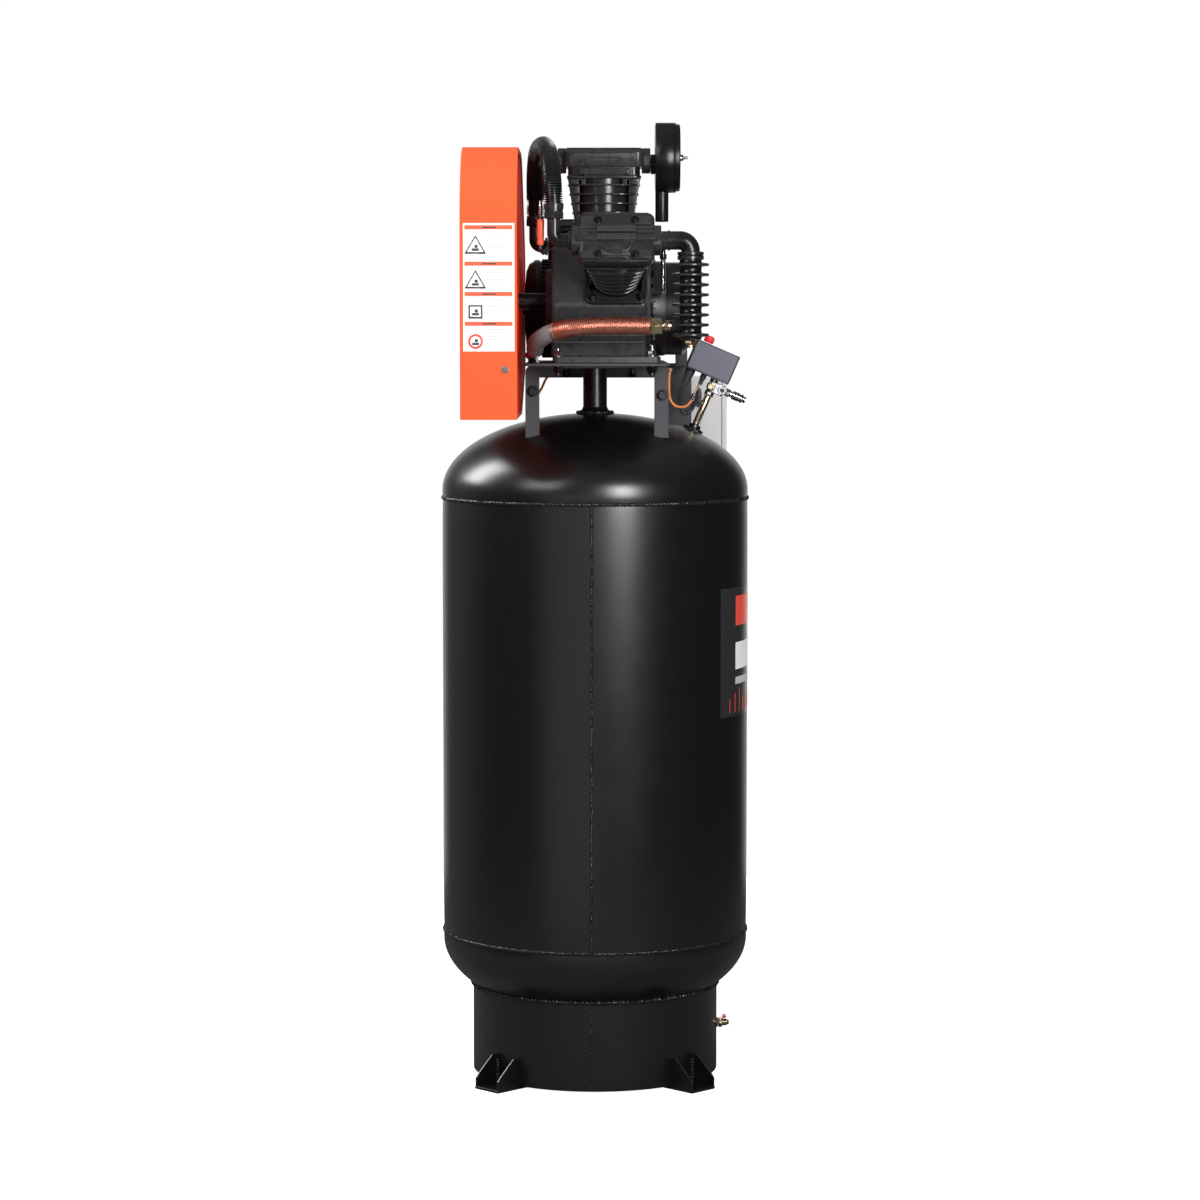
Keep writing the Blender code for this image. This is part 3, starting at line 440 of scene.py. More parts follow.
def resample(path, spacing):
    """Points evenly spaced along a path."""
    found = [path[0]]
    left = spacing
    for start, end in zip(path, path[1:]):
        length = (end - start).length
        while left <= length:
            found.append(start.lerp(end, left / length))
            left += spacing
        left -= length
    return found


def finned(name, path, core, fin, pitch, mat):
    """A tube with thin round fins wound along it."""
    stations = []
    marks = resample(path, pitch / 5)
    for i, point in enumerate(marks):
        stations.append((point, fin if i % 5 in (1, 2) else core))
    return swept(name, stations, mat, 28)


def moved(x, y, z):
    return Matrix.Translation((x, y, z))


def rotated(degrees, axis):
    return Matrix.Rotation(radians(degrees), 4, axis)


def along_x(x, y, z):
    return moved(x, y, z) @ rotated(90, "Y")


def along_y(x, y, z):
    """Local Z along world -Y."""
    return moved(x, y, z) @ rotated(90, "X")


def hex_bolt(name, place, across, mat, height, washer=True, stud=0.0):
    """A hexagon head with a chamfered top, a washer under it, and a stud through it when asked."""
    radius = across / 2 / cos(pi / 6)
    base = 0.0012 if washer else 0.0
    if washer:
        rod(name + "_washer", radius * 1.25, 0.0, base, mat, place, 24, bevel=0.0003)
    profile = [(radius, base), (radius, base + height * 0.82), (radius * 0.86, base + height)]
    turned(name, profile, mat, place, 6, bevel=0.0003)
    if stud:
        top = base + height
        rod(name + "_stud", radius * 0.5, top, top + stud, mat, place, 16, bevel=0.0006)


def bead(name, path, radius, mat, seed):
    """A rippled weld bead along a path."""
    chance = random.Random(seed)
    marks = resample(path, radius * 0.55)
    stations = []
    for i, point in enumerate(marks):
        swell = 1 + 0.16 * sin(i * 2.1) + chance.uniform(-0.10, 0.10)
        stations.append((point, radius * swell))
    return swept(name, stations, mat, 10)


def circle_path(radius, z, steps=180):
    turns = [radians(360.0 * i / steps) for i in range(steps + 1)]
    return [Vector((radius * cos(a), radius * sin(a), z)) for a in turns]


# ---------------------------------------------------------------- tank


def dome_height(radius):
    return SEAM_HIGH + HEAD_FLANGE + HEAD_RISE * sqrt(max(0.0, 1 - (radius / TANK_RADIUS) ** 2))


def head_profile(seam, direction):
    profile = [(0.0015, seam + direction * (HEAD_FLANGE + HEAD_RISE))]
    for i in range(1, 25):
        angle = i * pi / 2 / 24
        height = HEAD_FLANGE + HEAD_RISE * cos(angle)
        profile.append((TANK_RADIUS * sin(angle), seam + direction * height))
    profile.append((TANK_RADIUS - 0.0002, seam + direction * 0.0080))
    profile.append((TANK_RADIUS - 0.0009, seam + direction * 0.0004))
    return profile


def tank_shell():
    """Rolled shell: drawn in a little at the round seams, and peaked along the lengthwise one."""
    rings = []
    sides = 240
    rows = 48
    for row in range(rows + 1):
        z = SEAM_LOW + (SEAM_HIGH - SEAM_LOW) * (1 - cos(pi * row / rows)) / 2
        pull = 0.0010 * (exp((SEAM_LOW - z) / 0.035) + exp((z - SEAM_HIGH) / 0.035))
        points = []
        for i in range(sides):
            angle = (i + 0.5) * 2 * pi / sides
            away = abs((angle - SEAM_ANGLE + pi) % (2 * pi) - pi) * TANK_RADIUS
            radius = TANK_RADIUS - pull + 0.0007 * exp(-away / 0.020)
            points.append(Vector((radius * cos(angle), radius * sin(angle), z)))
        rings.append(points)
    solid("tank_shell_v", rings, "tank")


def tank():
    tank_shell()
    turned("tank_top_head_v", head_profile(SEAM_HIGH, 1), "tank", sides=160)
    turned("tank_bottom_head_v", head_profile(SEAM_LOW, -1), "tank", sides=160)
    reach = TANK_RADIUS - 0.0016
    bead("weld_top_seam", circle_path(reach, SEAM_HIGH), 0.0038, "weld", 2)
    bead("weld_bottom_seam", circle_path(reach, SEAM_LOW), 0.0038, "weld", 3)
    chance = random.Random(8)
    path = []
    for i in range(60):
        angle = SEAM_ANGLE + chance.uniform(-0.0020, 0.0020)
        z = SEAM_LOW + (SEAM_HIGH - SEAM_LOW) * i / 59
        path.append(Vector(((reach + 0.0008) * cos(angle), (reach + 0.0008) * sin(angle), z)))
    bead("weld_long_seam", path, 0.0031, "weld", 4)


def tank_decal():
    """A dark panel round the switch side with plain coloured bars; the real lettering is left out."""

    def patch(name, start, end, low, high, lift, mat):
        outer = TANK_RADIUS + lift
        turns = [radians(start + (end - start) * i / 24) for i in range(25)]
        arc_out = [(outer * cos(a), outer * sin(a)) for a in turns]
        arc_in = [((TANK_RADIUS + 0.0001) * cos(a), (TANK_RADIUS + 0.0001) * sin(a))
                  for a in reversed(turns)]
        return prism(name, arc_out + arc_in, low, high, mat)

    patch("decal_panel", -36.5, 38, 0.728, 0.980, 0.0004, "decal")
    patch("decal_bar_red", -25, 28, 0.905, 0.963, 0.0007, "decal_red")
    patch("decal_bar_white", -25, 20, 0.819, 0.872, 0.0007, "white")
    patch("decal_bar_grey", -25, 12, 0.790, 0.804, 0.0007, "print_grey")
    for i in range(14):
        start = -30 + i * 4.4
        patch(f"decal_stripe_{i}", start, start + 0.35, 0.735, 0.762 + 0.010 * (i % 3), 0.0007, "decal_red")


def base_ring():
    inner = RING_RADIUS - 0.003
    profile = [(RING_RADIUS, RING_BOTTOM), (RING_RADIUS, RING_TOP), (inner, RING_TOP), (inner, RING_BOTTOM)]
    turned("base_ring_v", profile, "tank", sides=160, closed=True, bevel=0.0006)
    bead("weld_ring_top", circle_path(RING_RADIUS + 0.0002, RING_TOP + 0.0035), 0.0045, "weld", 5)
    angle = radians(-91.8)
    path = [Vector((RING_RADIUS * cos(angle), RING_RADIUS * sin(angle), 0.010 + i * 0.004))
            for i in range(42)]
    bead("weld_ring_seam", path, 0.0014, "weld", 6)


def foot(index, angle):
    """A folded channel: base plate and two sloping sides, welded to the ring."""
    turn = rotated(angle, "Z")
    half = FOOT_WIDTH / 2
    made = block(f"foot_{index}_plate", (0.205, -half, 0.0), (FOOT_REACH, half, FOOT_PLATE), "tank", turn,
                 bevel=0.0012)
    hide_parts(f"foot_{index}")
    start = RING_RADIUS - 0.003
    outline = [(start, 0.003), (FOOT_REACH - 0.001, 0.003), (FOOT_REACH - 0.001, 0.022),
               (FOOT_REACH - 0.010, 0.032), (start + 0.014, 0.062), (start, 0.062)]
    for side in (-1, 1):
        stand = turn @ along_y(0.0, side * (half - 0.0025) + 0.002, 0.0)
        prism(f"foot_{index}_side_{side + 1}", outline, 0.0, 0.004, "tank", stand, bevel=0.0010)
        y = side * (half - 0.006)
        corner = sqrt(RING_RADIUS**2 - y**2)
        rise = [turn @ Vector((corner + 0.001, y, 0.008 + 0.0035 * i)) for i in range(15)]
        bead(f"foot_{index}_weld_{side + 1}", rise, 0.0035, "weld", index * 7 + side)
    sweep = [turn @ Vector((RING_RADIUS + 0.001, y * 0.001, FOOT_PLATE + 0.001)) for y in range(-28, 29, 4)]
    bead(f"foot_{index}_weld_low", sweep, 0.0032, "weld", index + 30)


def drain():
    """The CAD pipe stays; a hexagon, barrel and mouth stand for the valve, and a grip for its lever."""
    place = along_x(0.2475, 0.0, DRAIN_Z)
    hexagon = [(0.0100, 0.0), (0.0108, 0.001), (0.0108, 0.007), (0.0100, 0.008)]
    turned("drain_valve_v", hexagon, "brass", place, 6, bevel=0.0003)
    turned("drain_barrel", [(0.0072, 0.007), (0.0072, 0.016), (0.0060, 0.0165), (0.0060, 0.018)], "brass",
           place, bevel=0.0004)
    turned("drain_mouth", [(0.0050, 0.018), (0.0055, 0.0215), (0.0035, 0.0215), (0.0035, 0.018)], "brass",
           place, closed=True)
    stem = moved(DRAIN_VALVE_X, 0.0, DRAIN_Z + 0.0088)
    grip = [ring(z, 0.0040, 0.0125, 0.0036, 24, (0.0, -0.0090)) for z in (0.0038, 0.0078)]
    solid("drain_handle_v", grip, "red", stem, body="drain_handle", bevel=0.0010)
    rod("drain_spindle", 0.0040, 0.0, 0.0040, "brass", stem, 20, body="drain_handle")
    bead("weld_drain", [Vector((0.0135 * cos(a / 4), 0.0135 * sin(a / 4), 0.1185)) for a in range(26)],
         0.0024, "weld", 9)


# ---------------------------------------------------------------- platform


def column():
    low = dome_height(0.036) + 0.0005
    profile = [(0.0345, low), (0.0300, low + 0.004), (0.0255, low + 0.009), (0.0237, low + 0.014)]
    profile += [(0.0237, PLATE_BOTTOM - GAP), (0.0205, PLATE_BOTTOM - GAP), (0.0205, low)]
    turned("support_column_v", profile, "tank", closed=True, sides=64)
    path = circle_path(0.0340, low + 0.0015, steps=60)
    bead("weld_column", path, 0.0034, "weld", 12)


def arc(centre, radius, start, end, steps=8):
    turns = [radians(start + (end - start) * i / steps) for i in range(steps + 1)]
    return [(centre[0] + radius * cos(a), centre[1] + radius * sin(a)) for a in turns]


def bridge(side, top, inset, radius):
    """The leg frame's inverted U with rounded shoulders, in XZ, and its feet on the dome."""
    left, right = PLATE_X[0] + inset, PLATE_X[1] - inset
    high = PLATE_BOTTOM - GAP - inset
    outer = [(right, LEG_FOOT_Z)] + arc((right - radius, high - radius), radius, 0, 90)
    outer += arc((left + radius, high - radius), radius, 90, 180) + [(left, LEG_FOOT_Z)]
    inner = [(left + side, LEG_FOOT_Z), (left + side, high - top), (right - side, high - top),
             (right - side, LEG_FOOT_Z)]
    return outer + inner


def leg_frames():
    for name, front, side, top in (("near", -LEG_INNER - LEG_DEPTH, 0.027, BAR),
                                   ("far", LEG_INNER, BAR, 0.027)):
        bar = bridge(BAR, BAR, 0.0, 0.012)
        place = along_y(0.0, front + LEG_DEPTH, 0.0)
        prism(f"leg_frame_{name}_v", bar, 0.0, LEG_DEPTH, "grey", place, bevel=0.0008)
        lip = bridge(side, top, 0.0003, 0.0118)
        prism(f"leg_lip_{name}", lip, 0.0, 0.004, "grey", along_y(0.0, front + 0.0042, 0.0), bevel=0.0006)
        for x in (PLATE_X[0] + 0.003, PLATE_X[1] - 0.003):
            path = []
            for i in range(14):
                y = front + 0.004 + i * 0.004
                path.append(Vector((x, y, max(dome_height(sqrt(x * x + y * y)), LEG_FOOT_Z) + 0.0012)))
            bead(f"weld_leg_{name}_{x > 0}", path, 0.0036, "weld", 14)


def platform():
    column()
    middle = (sum(PLATE_X) / 2, sum(PLATE_Y) / 2)
    half_x = (PLATE_X[1] - PLATE_X[0]) / 2
    half_y = (PLATE_Y[1] - PLATE_Y[0]) / 2
    rings = [ring(z, half_x, half_y, 0.012, 64, middle) for z in (PLATE_BOTTOM, PLATE_TOP)]
    solid("platform_plate_v", rings, "grey", bevel=0.0012)
    leg_frames()
    platform_bolts()
    block("guard_stay", (-0.1125, -0.232, PLATE_TOP), (-0.1080, -0.212, 1.4400), "bolt", bevel=0.0006)


def platform_bolts():
    for x in (-0.0702, 0.1089):
        for y in (CRANK_Y - 0.092, CRANK_Y + 0.092):
            top = moved(x, y, BASE_TOP)
            hex_bolt(f"pump_nut_{x}_{y:.2f}", top, 0.015, "bolt", 0.010, stud=0.010)
            under = moved(x, y, PLATE_BOTTOM - 0.0002) @ TURN_OVER
            hex_bolt(f"pump_under_{x}_{y:.2f}", under, 0.018, "black_bolt", 0.011, stud=0.006)
    for x in (-0.0575, 0.0752):
        under = moved(x, 0.100, PLATE_BOTTOM - 0.018) @ TURN_OVER
        hex_bolt(f"cross_nut_{x}", under, 0.013, "black_bolt", 0.008)
        rod(f"cross_stud_{x}", 0.004, 0.0, 0.018, "black_bolt", under @ TURN_OVER, 16)
    for index, (x, z, turn) in enumerate(((-0.1200, 1.3630, 1), (0.1300, 1.3555, -1))):
        side = PLATE_X[0] + BAR if turn > 0 else PLATE_X[1] - BAR
        hex_bolt(f"leg_bolt_{index}", along_y(x, -0.1702, z), 0.016, "black_bolt", 0.010)
        inwards = along_x(side, -0.128, z - 0.004)
        if turn < 0:
            inwards = inwards @ TURN_OVER
        hex_bolt(f"leg_side_bolt_{index}", inwards, 0.012, "black_bolt", 0.008)


# ---------------------------------------------------------------- pump


def bank(x, angle):
    return moved(x, CRANK_Y, CRANK_Z) @ Matrix.Rotation(angle, 4, "X")


def yz(x=0.0, y=0.0, z=0.0):
    """Local XY is world YZ and local Z is world X."""
    return Matrix(((0, 0, 1, x), (1, 0, 0, y), (0, 1, 0, z), (0, 0, 0, 1)))


def case_outline(inset):
    reach = CYLINDER_FOOT - GAP - inset
    half = 0.056 - inset * 0.5
    lean = pi / 2 - BANK_ANGLE
    side_low = (reach * cos(lean) + half * sin(lean), reach * sin(lean) - half * cos(lean))
    side_high = (reach * cos(lean) - half * sin(lean), reach * sin(lean) + half * cos(lean))
    right = [(0.094 - inset, -0.110 + inset), (0.098 - inset, -0.075), side_low, side_high,
             (half * 0.95, reach)]
    left = [(-y, z) for y, z in reversed(right)]
    return right + left


def crankcase():
    """Ribbed casting with a flat base flange, a bearing boss on the guard side and a cover opposite."""
    place = yz(0.0, CRANK_Y, CRANK_Z)
    # The crankcase, its base and skirt take the lighter case paint: painted sheen.
    prism("crankcase_v", case_outline(0.0), -0.083, 0.098, "case", place, bevel=0.008, segments=4)
    base = [ring(z, 0.103, 0.105, 0.012, 64, (0.0225, CRANK_Y)) for z in (PLATE_TOP + GAP, BASE_TOP)]
    solid("crankcase_base", base, "case", bevel=0.0015)
    low = [ring(z, 0.088, 0.092, 0.02, 64, (0.0145, CRANK_Y)) for z in (1.4300, 1.4420)]
    solid("crankcase_skirt", low, "case", bevel=0.003)
    housing = [(0.0620, 0.006), (0.0620, -0.0115), (0.0590, -0.0144), (0.0340, -0.0144), (0.0320, -0.0120),
               (0.0170, -0.0120)]
    turned("bearing_boss", housing, "case", along_x(-0.080, CRANK_Y, CRANK_Z), bevel=0.001)
    for i in range(6):
        turn = rotated(60 * i + 30, "Z")
        spot = along_x(-0.0944, CRANK_Y, CRANK_Z) @ turn @ moved(0.0480, 0.0, 0.0) @ TURN_OVER
        hex_bolt(f"boss_bolt_{i}", spot, 0.008, "black_bolt", 0.004, washer=False)
    for i, z in enumerate((1.4560, 1.4690)):
        block(f"case_rib_{i}", (-0.0790, CRANK_Y - 0.1015, z), (0.0940, CRANK_Y - 0.092, z + 0.004), "case",
              bevel=0.0015)
    end_cover()


def end_cover():
    """The round cover with its boss and bolts, the sight glass and the oil plug."""
    cover = [ring(z, 0.088, 0.088, 0.05, 64) for z in (0.0, 0.0075)]
    cover_place = along_x(0.0984, CRANK_Y, CRANK_Z)
    solid("end_cover_v", cover, "case", cover_place, bevel=0.0015)
    turned("end_cover_boss", [(0.036, 0.006), (0.034, 0.0140), (0.020, 0.0140), (0.016, 0.0120)], "case",
           cover_place, bevel=0.0008)
    for i in range(8):
        turn = rotated(45 * i + 22.5, "Z")
        spot = cover_place @ turn @ moved(0.078, 0.0, 0.0075)
        hex_bolt(f"cover_bolt_{i}", spot, 0.010, "black_bolt", 0.005)
    sight = along_x(0.1055, CRANK_Y, CRANK_Z - 0.060)
    turned("sight_rim", [(0.016, 0.0), (0.016, 0.008), (0.012, 0.009), (0.012, 0.006)], "bolt", sight,
           bevel=0.0005)
    turned("sight_glass", [(0.0118, 0.005), (0.0118, 0.0075), (0.004, 0.0090)], "glass", sight)
    rod("oil_plug", 0.0085, 0.0, 0.008, "black_bolt", along_x(0.1055, CRANK_Y - 0.045, CRANK_Z + 0.052), 6,
        bevel=0.001)


def bored(rings, radius):
    """The rings of an outer shape, then those of a round hole through it, for a closed solid."""
    return rings + [ring(rings[i][0].z, radius, sides=64) for i in (-1, 0)]


def cylinder(key, place, half):
    """A bored barrel and thin fins, with a core each side that widens towards the head."""
    foot = [ring(CYLINDER_FOOT, 0.058, 0.058, 0.014, 64), ring(0.1165, 0.058, 0.058, 0.014, 64)]
    solid(f"cylinder_{key}_v", bored(foot, BORE), "cast", place, closed=True, bevel=0.0015)
    barrel = [(0.0515, 0.1160), (0.0490, 0.1185), (0.0475, 0.1230), (0.0475, 0.2330)]
    wall = [ring(z, radius, sides=64) for radius, z in barrel]
    solid(f"cylinder_{key}_barrel", bored(wall, BORE), "cast_fine", place, closed=True)

    def reach(z):
        return half - 0.0205 + (z - 0.156) * 0.161

    for side in (-1, 1):
        core = []
        for z in (0.1170, 0.2330):
            width = (reach(z) - 0.0465) / 2
            core.append(ring(z, width, 0.034, 0.0018, 32, (side * (0.0465 + width), 0.0)))
        solid(f"cylinder_{key}_core_{side + 1}", core, "cast_fine", place)
    for i in range(6):
        z = 0.1337 + i * 0.0175
        size_x = reach(z) + 0.0022
        size_y = 0.0500 + 0.0005 * i
        corner = size_y - 0.004 - 0.0020 * i
        rings = []
        for lift, inset in ((-0.0017, 0.0008), (-0.0009, 0.0), (0.0009, 0.0), (0.0017, 0.0008)):
            rings.append(ring(z + lift, size_x - inset, size_y - inset, corner, 64))
        solid(f"cylinder_{key}_fin_{i}", bored(rings, 0.0466), "cast_fine", place, closed=True)
    for x in (-0.0465, 0.0465):
        for y in (-0.0465, 0.0465):
            spot = place @ moved(x, y, 0.1165)
            hex_bolt(f"cylinder_{key}_nut_{x}_{y}", spot, 0.012, "black_bolt", 0.008, stud=0.003)


def outline_bead(name, points, radius, mat, place):
    """A raised cast line on a face."""
    pipe(name, [place @ Vector(point) for point in points], radius, mat, 10)


def head(key, place, half):
    """Cast head on its narrower valve plate, with a port flange at each end."""
    plate = [ring(z, half - 0.0065, 0.048, 0.014, 64) for z in (DECK + GAP, 0.2385)]
    plate += [ring(z, half - 0.0085, 0.045, 0.014, 64) for z in (0.2390, 0.2555)]
    solid(f"head_{key}_v", plate, "cast", place, bevel=0.0010)
    plain = key == "centre"
    top = HEAD_TOP - (0.0006 if plain else 0.0065)
    body = [
        ring(0.2550, half - 0.0015, 0.0480, 0.014, 64),
        ring(0.2565, half - 0.0010, 0.0490, 0.014, 64),
        ring(top - 0.0090, half - 0.0010, 0.0490, 0.014, 64),
        ring(top - 0.0015, half - 0.0040, 0.0430, 0.014, 64),
        ring(top, half - 0.0060, 0.0410, 0.014, 64),
    ]
    solid(f"head_{key}_body", body, "cast", place)
    if plain:
        head_front_shelves(key, place)
        lift = 0.0065
    else:
        head_top_marks(key, half, top, place)
        lift = 0.0
    for side in (-1, 1):
        head_side_marks(f"head_{key}_{side + 1}", side * 0.0490, top, "cast", place)
        end = moved(side * (half - 0.010), 0.0, PORT_HEIGHT + lift)
        start = place @ end @ rotated(90 * side, "Y")
        flange = [ring(z, 0.0240, 0.0260, 0.018, 64) for z in (0.0050, 0.0213)]
        solid(f"head_{key}_port_{side + 1}", flange, "cast", start, bevel=0.0020)


def head_top_marks(key, half, top, place):
    """The outer face: two middle bars, ribs and port bulges beside them, bolt pads and a pocket."""
    for part, low, high in (("upper", 0.0040, 0.0178), ("lower", -0.0126, 0.0012)):
        block(f"head_{key}_bar_{part}", (-0.0365, low, top - 0.002), (0.0365, high, HEAD_TOP), "cast",
              place, bevel=0.0022)
    for side in (-1, 1):
        x0, x1 = sorted((side * 0.036, side * (half - 0.003)))
        for y in (0.0070, 0.0135):
            block(f"head_{key}_rib_{side}_{y}", (x0, y - 0.0018, top - 0.003),
                  (x1, y + 0.0018, top + 0.0030), "cast", place, bevel=0.0010)
        bulge = [(place @ Vector((x, -0.0065, top - 0.0030)), 0.0075)
                 for x in (side * 0.034, side * (half + 0.002))]
        swept(f"head_{key}_bulge_{side}", bulge, "cast_fine", 32)
        for y in (-0.0400, 0.0300):
            pad = (side * 0.047, y)
            rings = [ring(z, 0.0185, 0.0085, 0.005, 32, pad) for z in (top - 0.003, top + 0.0016)]
            solid(f"head_{key}_pad_{side}_{y}", rings, "cast", place, bevel=0.0014)
            spot = place @ moved(side * 0.0345, y, top + 0.0012)
            hex_bolt(f"head_{key}_bolt_{side}_{y}", spot, 0.0105, "black_bolt", 0.0040)
    pocket = [(-0.0335, -0.0160, top), (-0.0200, -0.0325, top), (0.0200, -0.0325, top),
              (0.0335, -0.0160, top)]
    outline_bead(f"head_{key}_pocket", pocket, 0.0018, "cast_fine", place)
    lip = [(0.0170 * i / 4, -0.0375 + 0.0022 * (i / 4) ** 2, top) for i in range(-4, 5)]
    outline_bead(f"head_{key}_lip", lip, 0.0016, "cast_fine", place)


def head_side_marks(name, y, top, mat, place):
    """Embossed lines on a long side face, and an arch on the slope above it."""
    wide = [(0.0630, 0.2600), (0.0630, top - 0.0140), (0.0580, top - 0.0096)]
    small = [(0.0420, 0.2565), (0.0400, 0.2640), (0.0330, 0.2715), (0.0260, 0.2735)]
    for part, half in (("wide", wide), ("small", small)):
        points = [(-x, y, z) for x, z in half] + [(x, y, z) for x, z in reversed(half)]
        outline_bead(f"{name}_{part}", points, 0.0011, mat, place)
    slope = y * 0.90
    arch = [(-0.0245, y, top - 0.0085), (-0.0190, slope, top - 0.0028), (0.0190, slope, top - 0.0028),
            (0.0245, y, top - 0.0085)]
    outline_bead(f"{name}_arch", arch, 0.0017, mat, place)


def head_front_shelves(key, place):
    """Two shallow shelves on the pump side, the lower one open in its middle."""
    for part, low, high in (
        ("upper", (-0.0480, -0.0520, 0.2400), (0.0480, -0.0400, 0.2530)),
        ("ledge", (-0.0385, -0.0545, 0.2372), (0.0385, -0.0400, 0.2402)),
        ("left", (-0.0435, -0.0530, 0.2205), (-0.0350, -0.0400, 0.2325)),
        ("right", (0.0350, -0.0530, 0.2205), (0.0435, -0.0400, 0.2325)),
    ):
        block(f"head_{key}_shelf_{part}", low, high, "cast_fine", place, bevel=0.0014)
    spot = place @ moved(0.0455, -0.0520, 0.2465) @ rotated(90, "X")
    turned(f"head_{key}_plug", [(0.0022, 0.0), (0.0022, 0.0022), (0.0012, 0.0030)], "bolt", spot, 20)


def pump():
    crankcase()
    for key, (x, angle, half) in BANKS.items():
        place = bank(x, angle)
        cylinder(key, place, half)
        head(key, place, half)


def flywheel():
    """The guard hides most of it: rim with two belt grooves, spokes and hub."""
    place = along_x(0.0, CRANK_Y, CRANK_Z)
    low, high = BELT_X
    rim = [(0.158, low), (FLYWHEEL_RADIUS, low)]
    for start in (low + 0.003, low + 0.022):
        rim += [(FLYWHEEL_RADIUS, start), (0.168, start + 0.004), (0.168, start + 0.012),
                (FLYWHEEL_RADIUS, start + 0.016)]
    rim += [(FLYWHEEL_RADIUS, high), (0.158, high)]
    turned("flywheel_v", rim, "cast_fine", place, 96, closed=True, body="crank")
    turned("flywheel_hub", [(0.0157, low), (0.0157, high), (0.034, high), (0.038, low)], "cast_fine", place,
           closed=True, body="crank", bevel=0.001)
    for i in range(5):
        turn = place @ rotated(72 * i, "Z")
        spoke = [ring(z, 0.011, 0.016, 0.010, 24) for z in (0.030, 0.161)]
        shape = turn @ moved(0.0, 0.0, -0.206) @ rotated(90, "Y")
        solid(f"flywheel_spoke_{i}", spoke, "cast_fine", shape, body="crank", bevel=0.002)
    rod("flywheel_bolt", 0.014, high - 0.001, high + 0.010, "bolt", place, 6, body="crank", bevel=0.0008)


# ---------------------------------------------------------------- air side


def port_point(key, side):
    x, angle, half = BANKS[key]
    y = CRANK_Y - PORT_HEIGHT * sin(angle)
    z = CRANK_Z + PORT_HEIGHT * cos(angle)
    return Vector((x + side * (half + 0.0115 + GAP), y, z))


def union_nut(name, place, radius, length, mat="cast_fine"):
    hexagon = [(radius * 0.93, 0.0), (radius, 0.0012), (radius, length * 0.6), (radius * 0.93, length * 0.66)]
    turned(name, hexagon, mat, place, 6, bevel=0.0005)
    rod(name + "_collar", radius * 0.84, length * 0.64, length, mat, place, bevel=0.0005)


def intercooler():
    """Wound-fin hose arched over the centre head, with an elbow and a union at each end."""
    near, far, crown = port_point("near", -1), port_point("far", -1), port_point("centre", -1)
    for name, port, x in (("near", near, -0.076), ("far", far, -0.119)):
        elbow = [(port, 0.0125), (port + Vector((-0.004, 0, 0)), 0.0125)]
        corner = Vector((x, port.y, port.z))
        for i in range(7):
            angle = radians(90 * i / 6)
            elbow.append((corner + Vector((0.013 * (1 - sin(angle)), 0.0, 0.013 * (1 - cos(angle)))),
                          0.0125))
        elbow.append((corner + Vector((0, 0, 0.042)), 0.0125))
        swept(f"elbow_{name}", elbow, "cast_fine", 32)
        rod(f"elbow_{name}_flange", 0.0175, 0.0, 0.005, "cast_fine",
            along_x(port.x - 0.0052, port.y, port.z), bevel=0.0006)
        union_nut(f"union_{name}", Matrix.Translation(corner + Vector((0, 0, 0.040))), 0.0205, 0.020)
    near_top = Vector((-0.076, near.y, near.z + 0.058))
    far_top = Vector((-0.119, far.y, far.z + 0.058))
    arch = [
        near_top,
        Vector((-0.079, -0.398, 1.755)),
        Vector((-0.084, -0.355, 1.800)),
        Vector((-0.093, -0.270, 1.826)),
        Vector((-0.104, -0.160, 1.832)),
        Vector((-0.113, -0.050, 1.822)),
        Vector((-0.118, 0.030, 1.788)),
        Vector((-0.119, far.y, 1.745)),
        far_top,
    ]
    made = finned("intercooler_hose", smooth_path(arch, 14), 0.0135, 0.0178, 0.0043, "cast_fine")
    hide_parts("intercooler_line")
    branch = [crown, crown + Vector((-0.005, 0, 0)), Vector((-0.088, crown.y, crown.z + 0.012)),
              Vector((-0.101, crown.y, 1.827))]
    pipe("intercooler_branch", smooth_path(branch, 5), 0.0135, "cast_fine")
    pipe("hose_clamp_near", (near_top, near_top + Vector((0, 0, 0.010))), 0.0185, "cast_fine")
    relief_valve(near)


def relief_valve(near):
    """Orange cap, bright stem and bent pipe beside the near elbow."""
    relief = moved(-0.1010, near.y + 0.020, 1.6385)
    cap = [(0.0052, 0.0), (0.0066, 0.004), (0.0068, 0.040), (0.0060, 0.047), (0.0035, 0.0485)]
    turned("relief_cap", cap, "cap", relief, bevel=0.0004)
    stem = [(0.0022, 0.048), (0.0022, 0.054), (0.0042, 0.0545), (0.0042, 0.061), (0.0028, 0.0615),
            (0.0028, 0.066), (0.0038, 0.0665), (0.0038, 0.073), (0.0020, 0.082)]
    turned("relief_stem", stem, "chrome", relief, bevel=0.0002)
    bend = [(-0.101, near.y + 0.020, 1.6400), (-0.101, near.y + 0.020, 1.6300),
            (-0.096, near.y + 0.012, 1.6240), (-0.084, near.y + 0.004, 1.6330)]
    pipe("relief_pipe", bend, 0.0042, "cast_fine", 16)


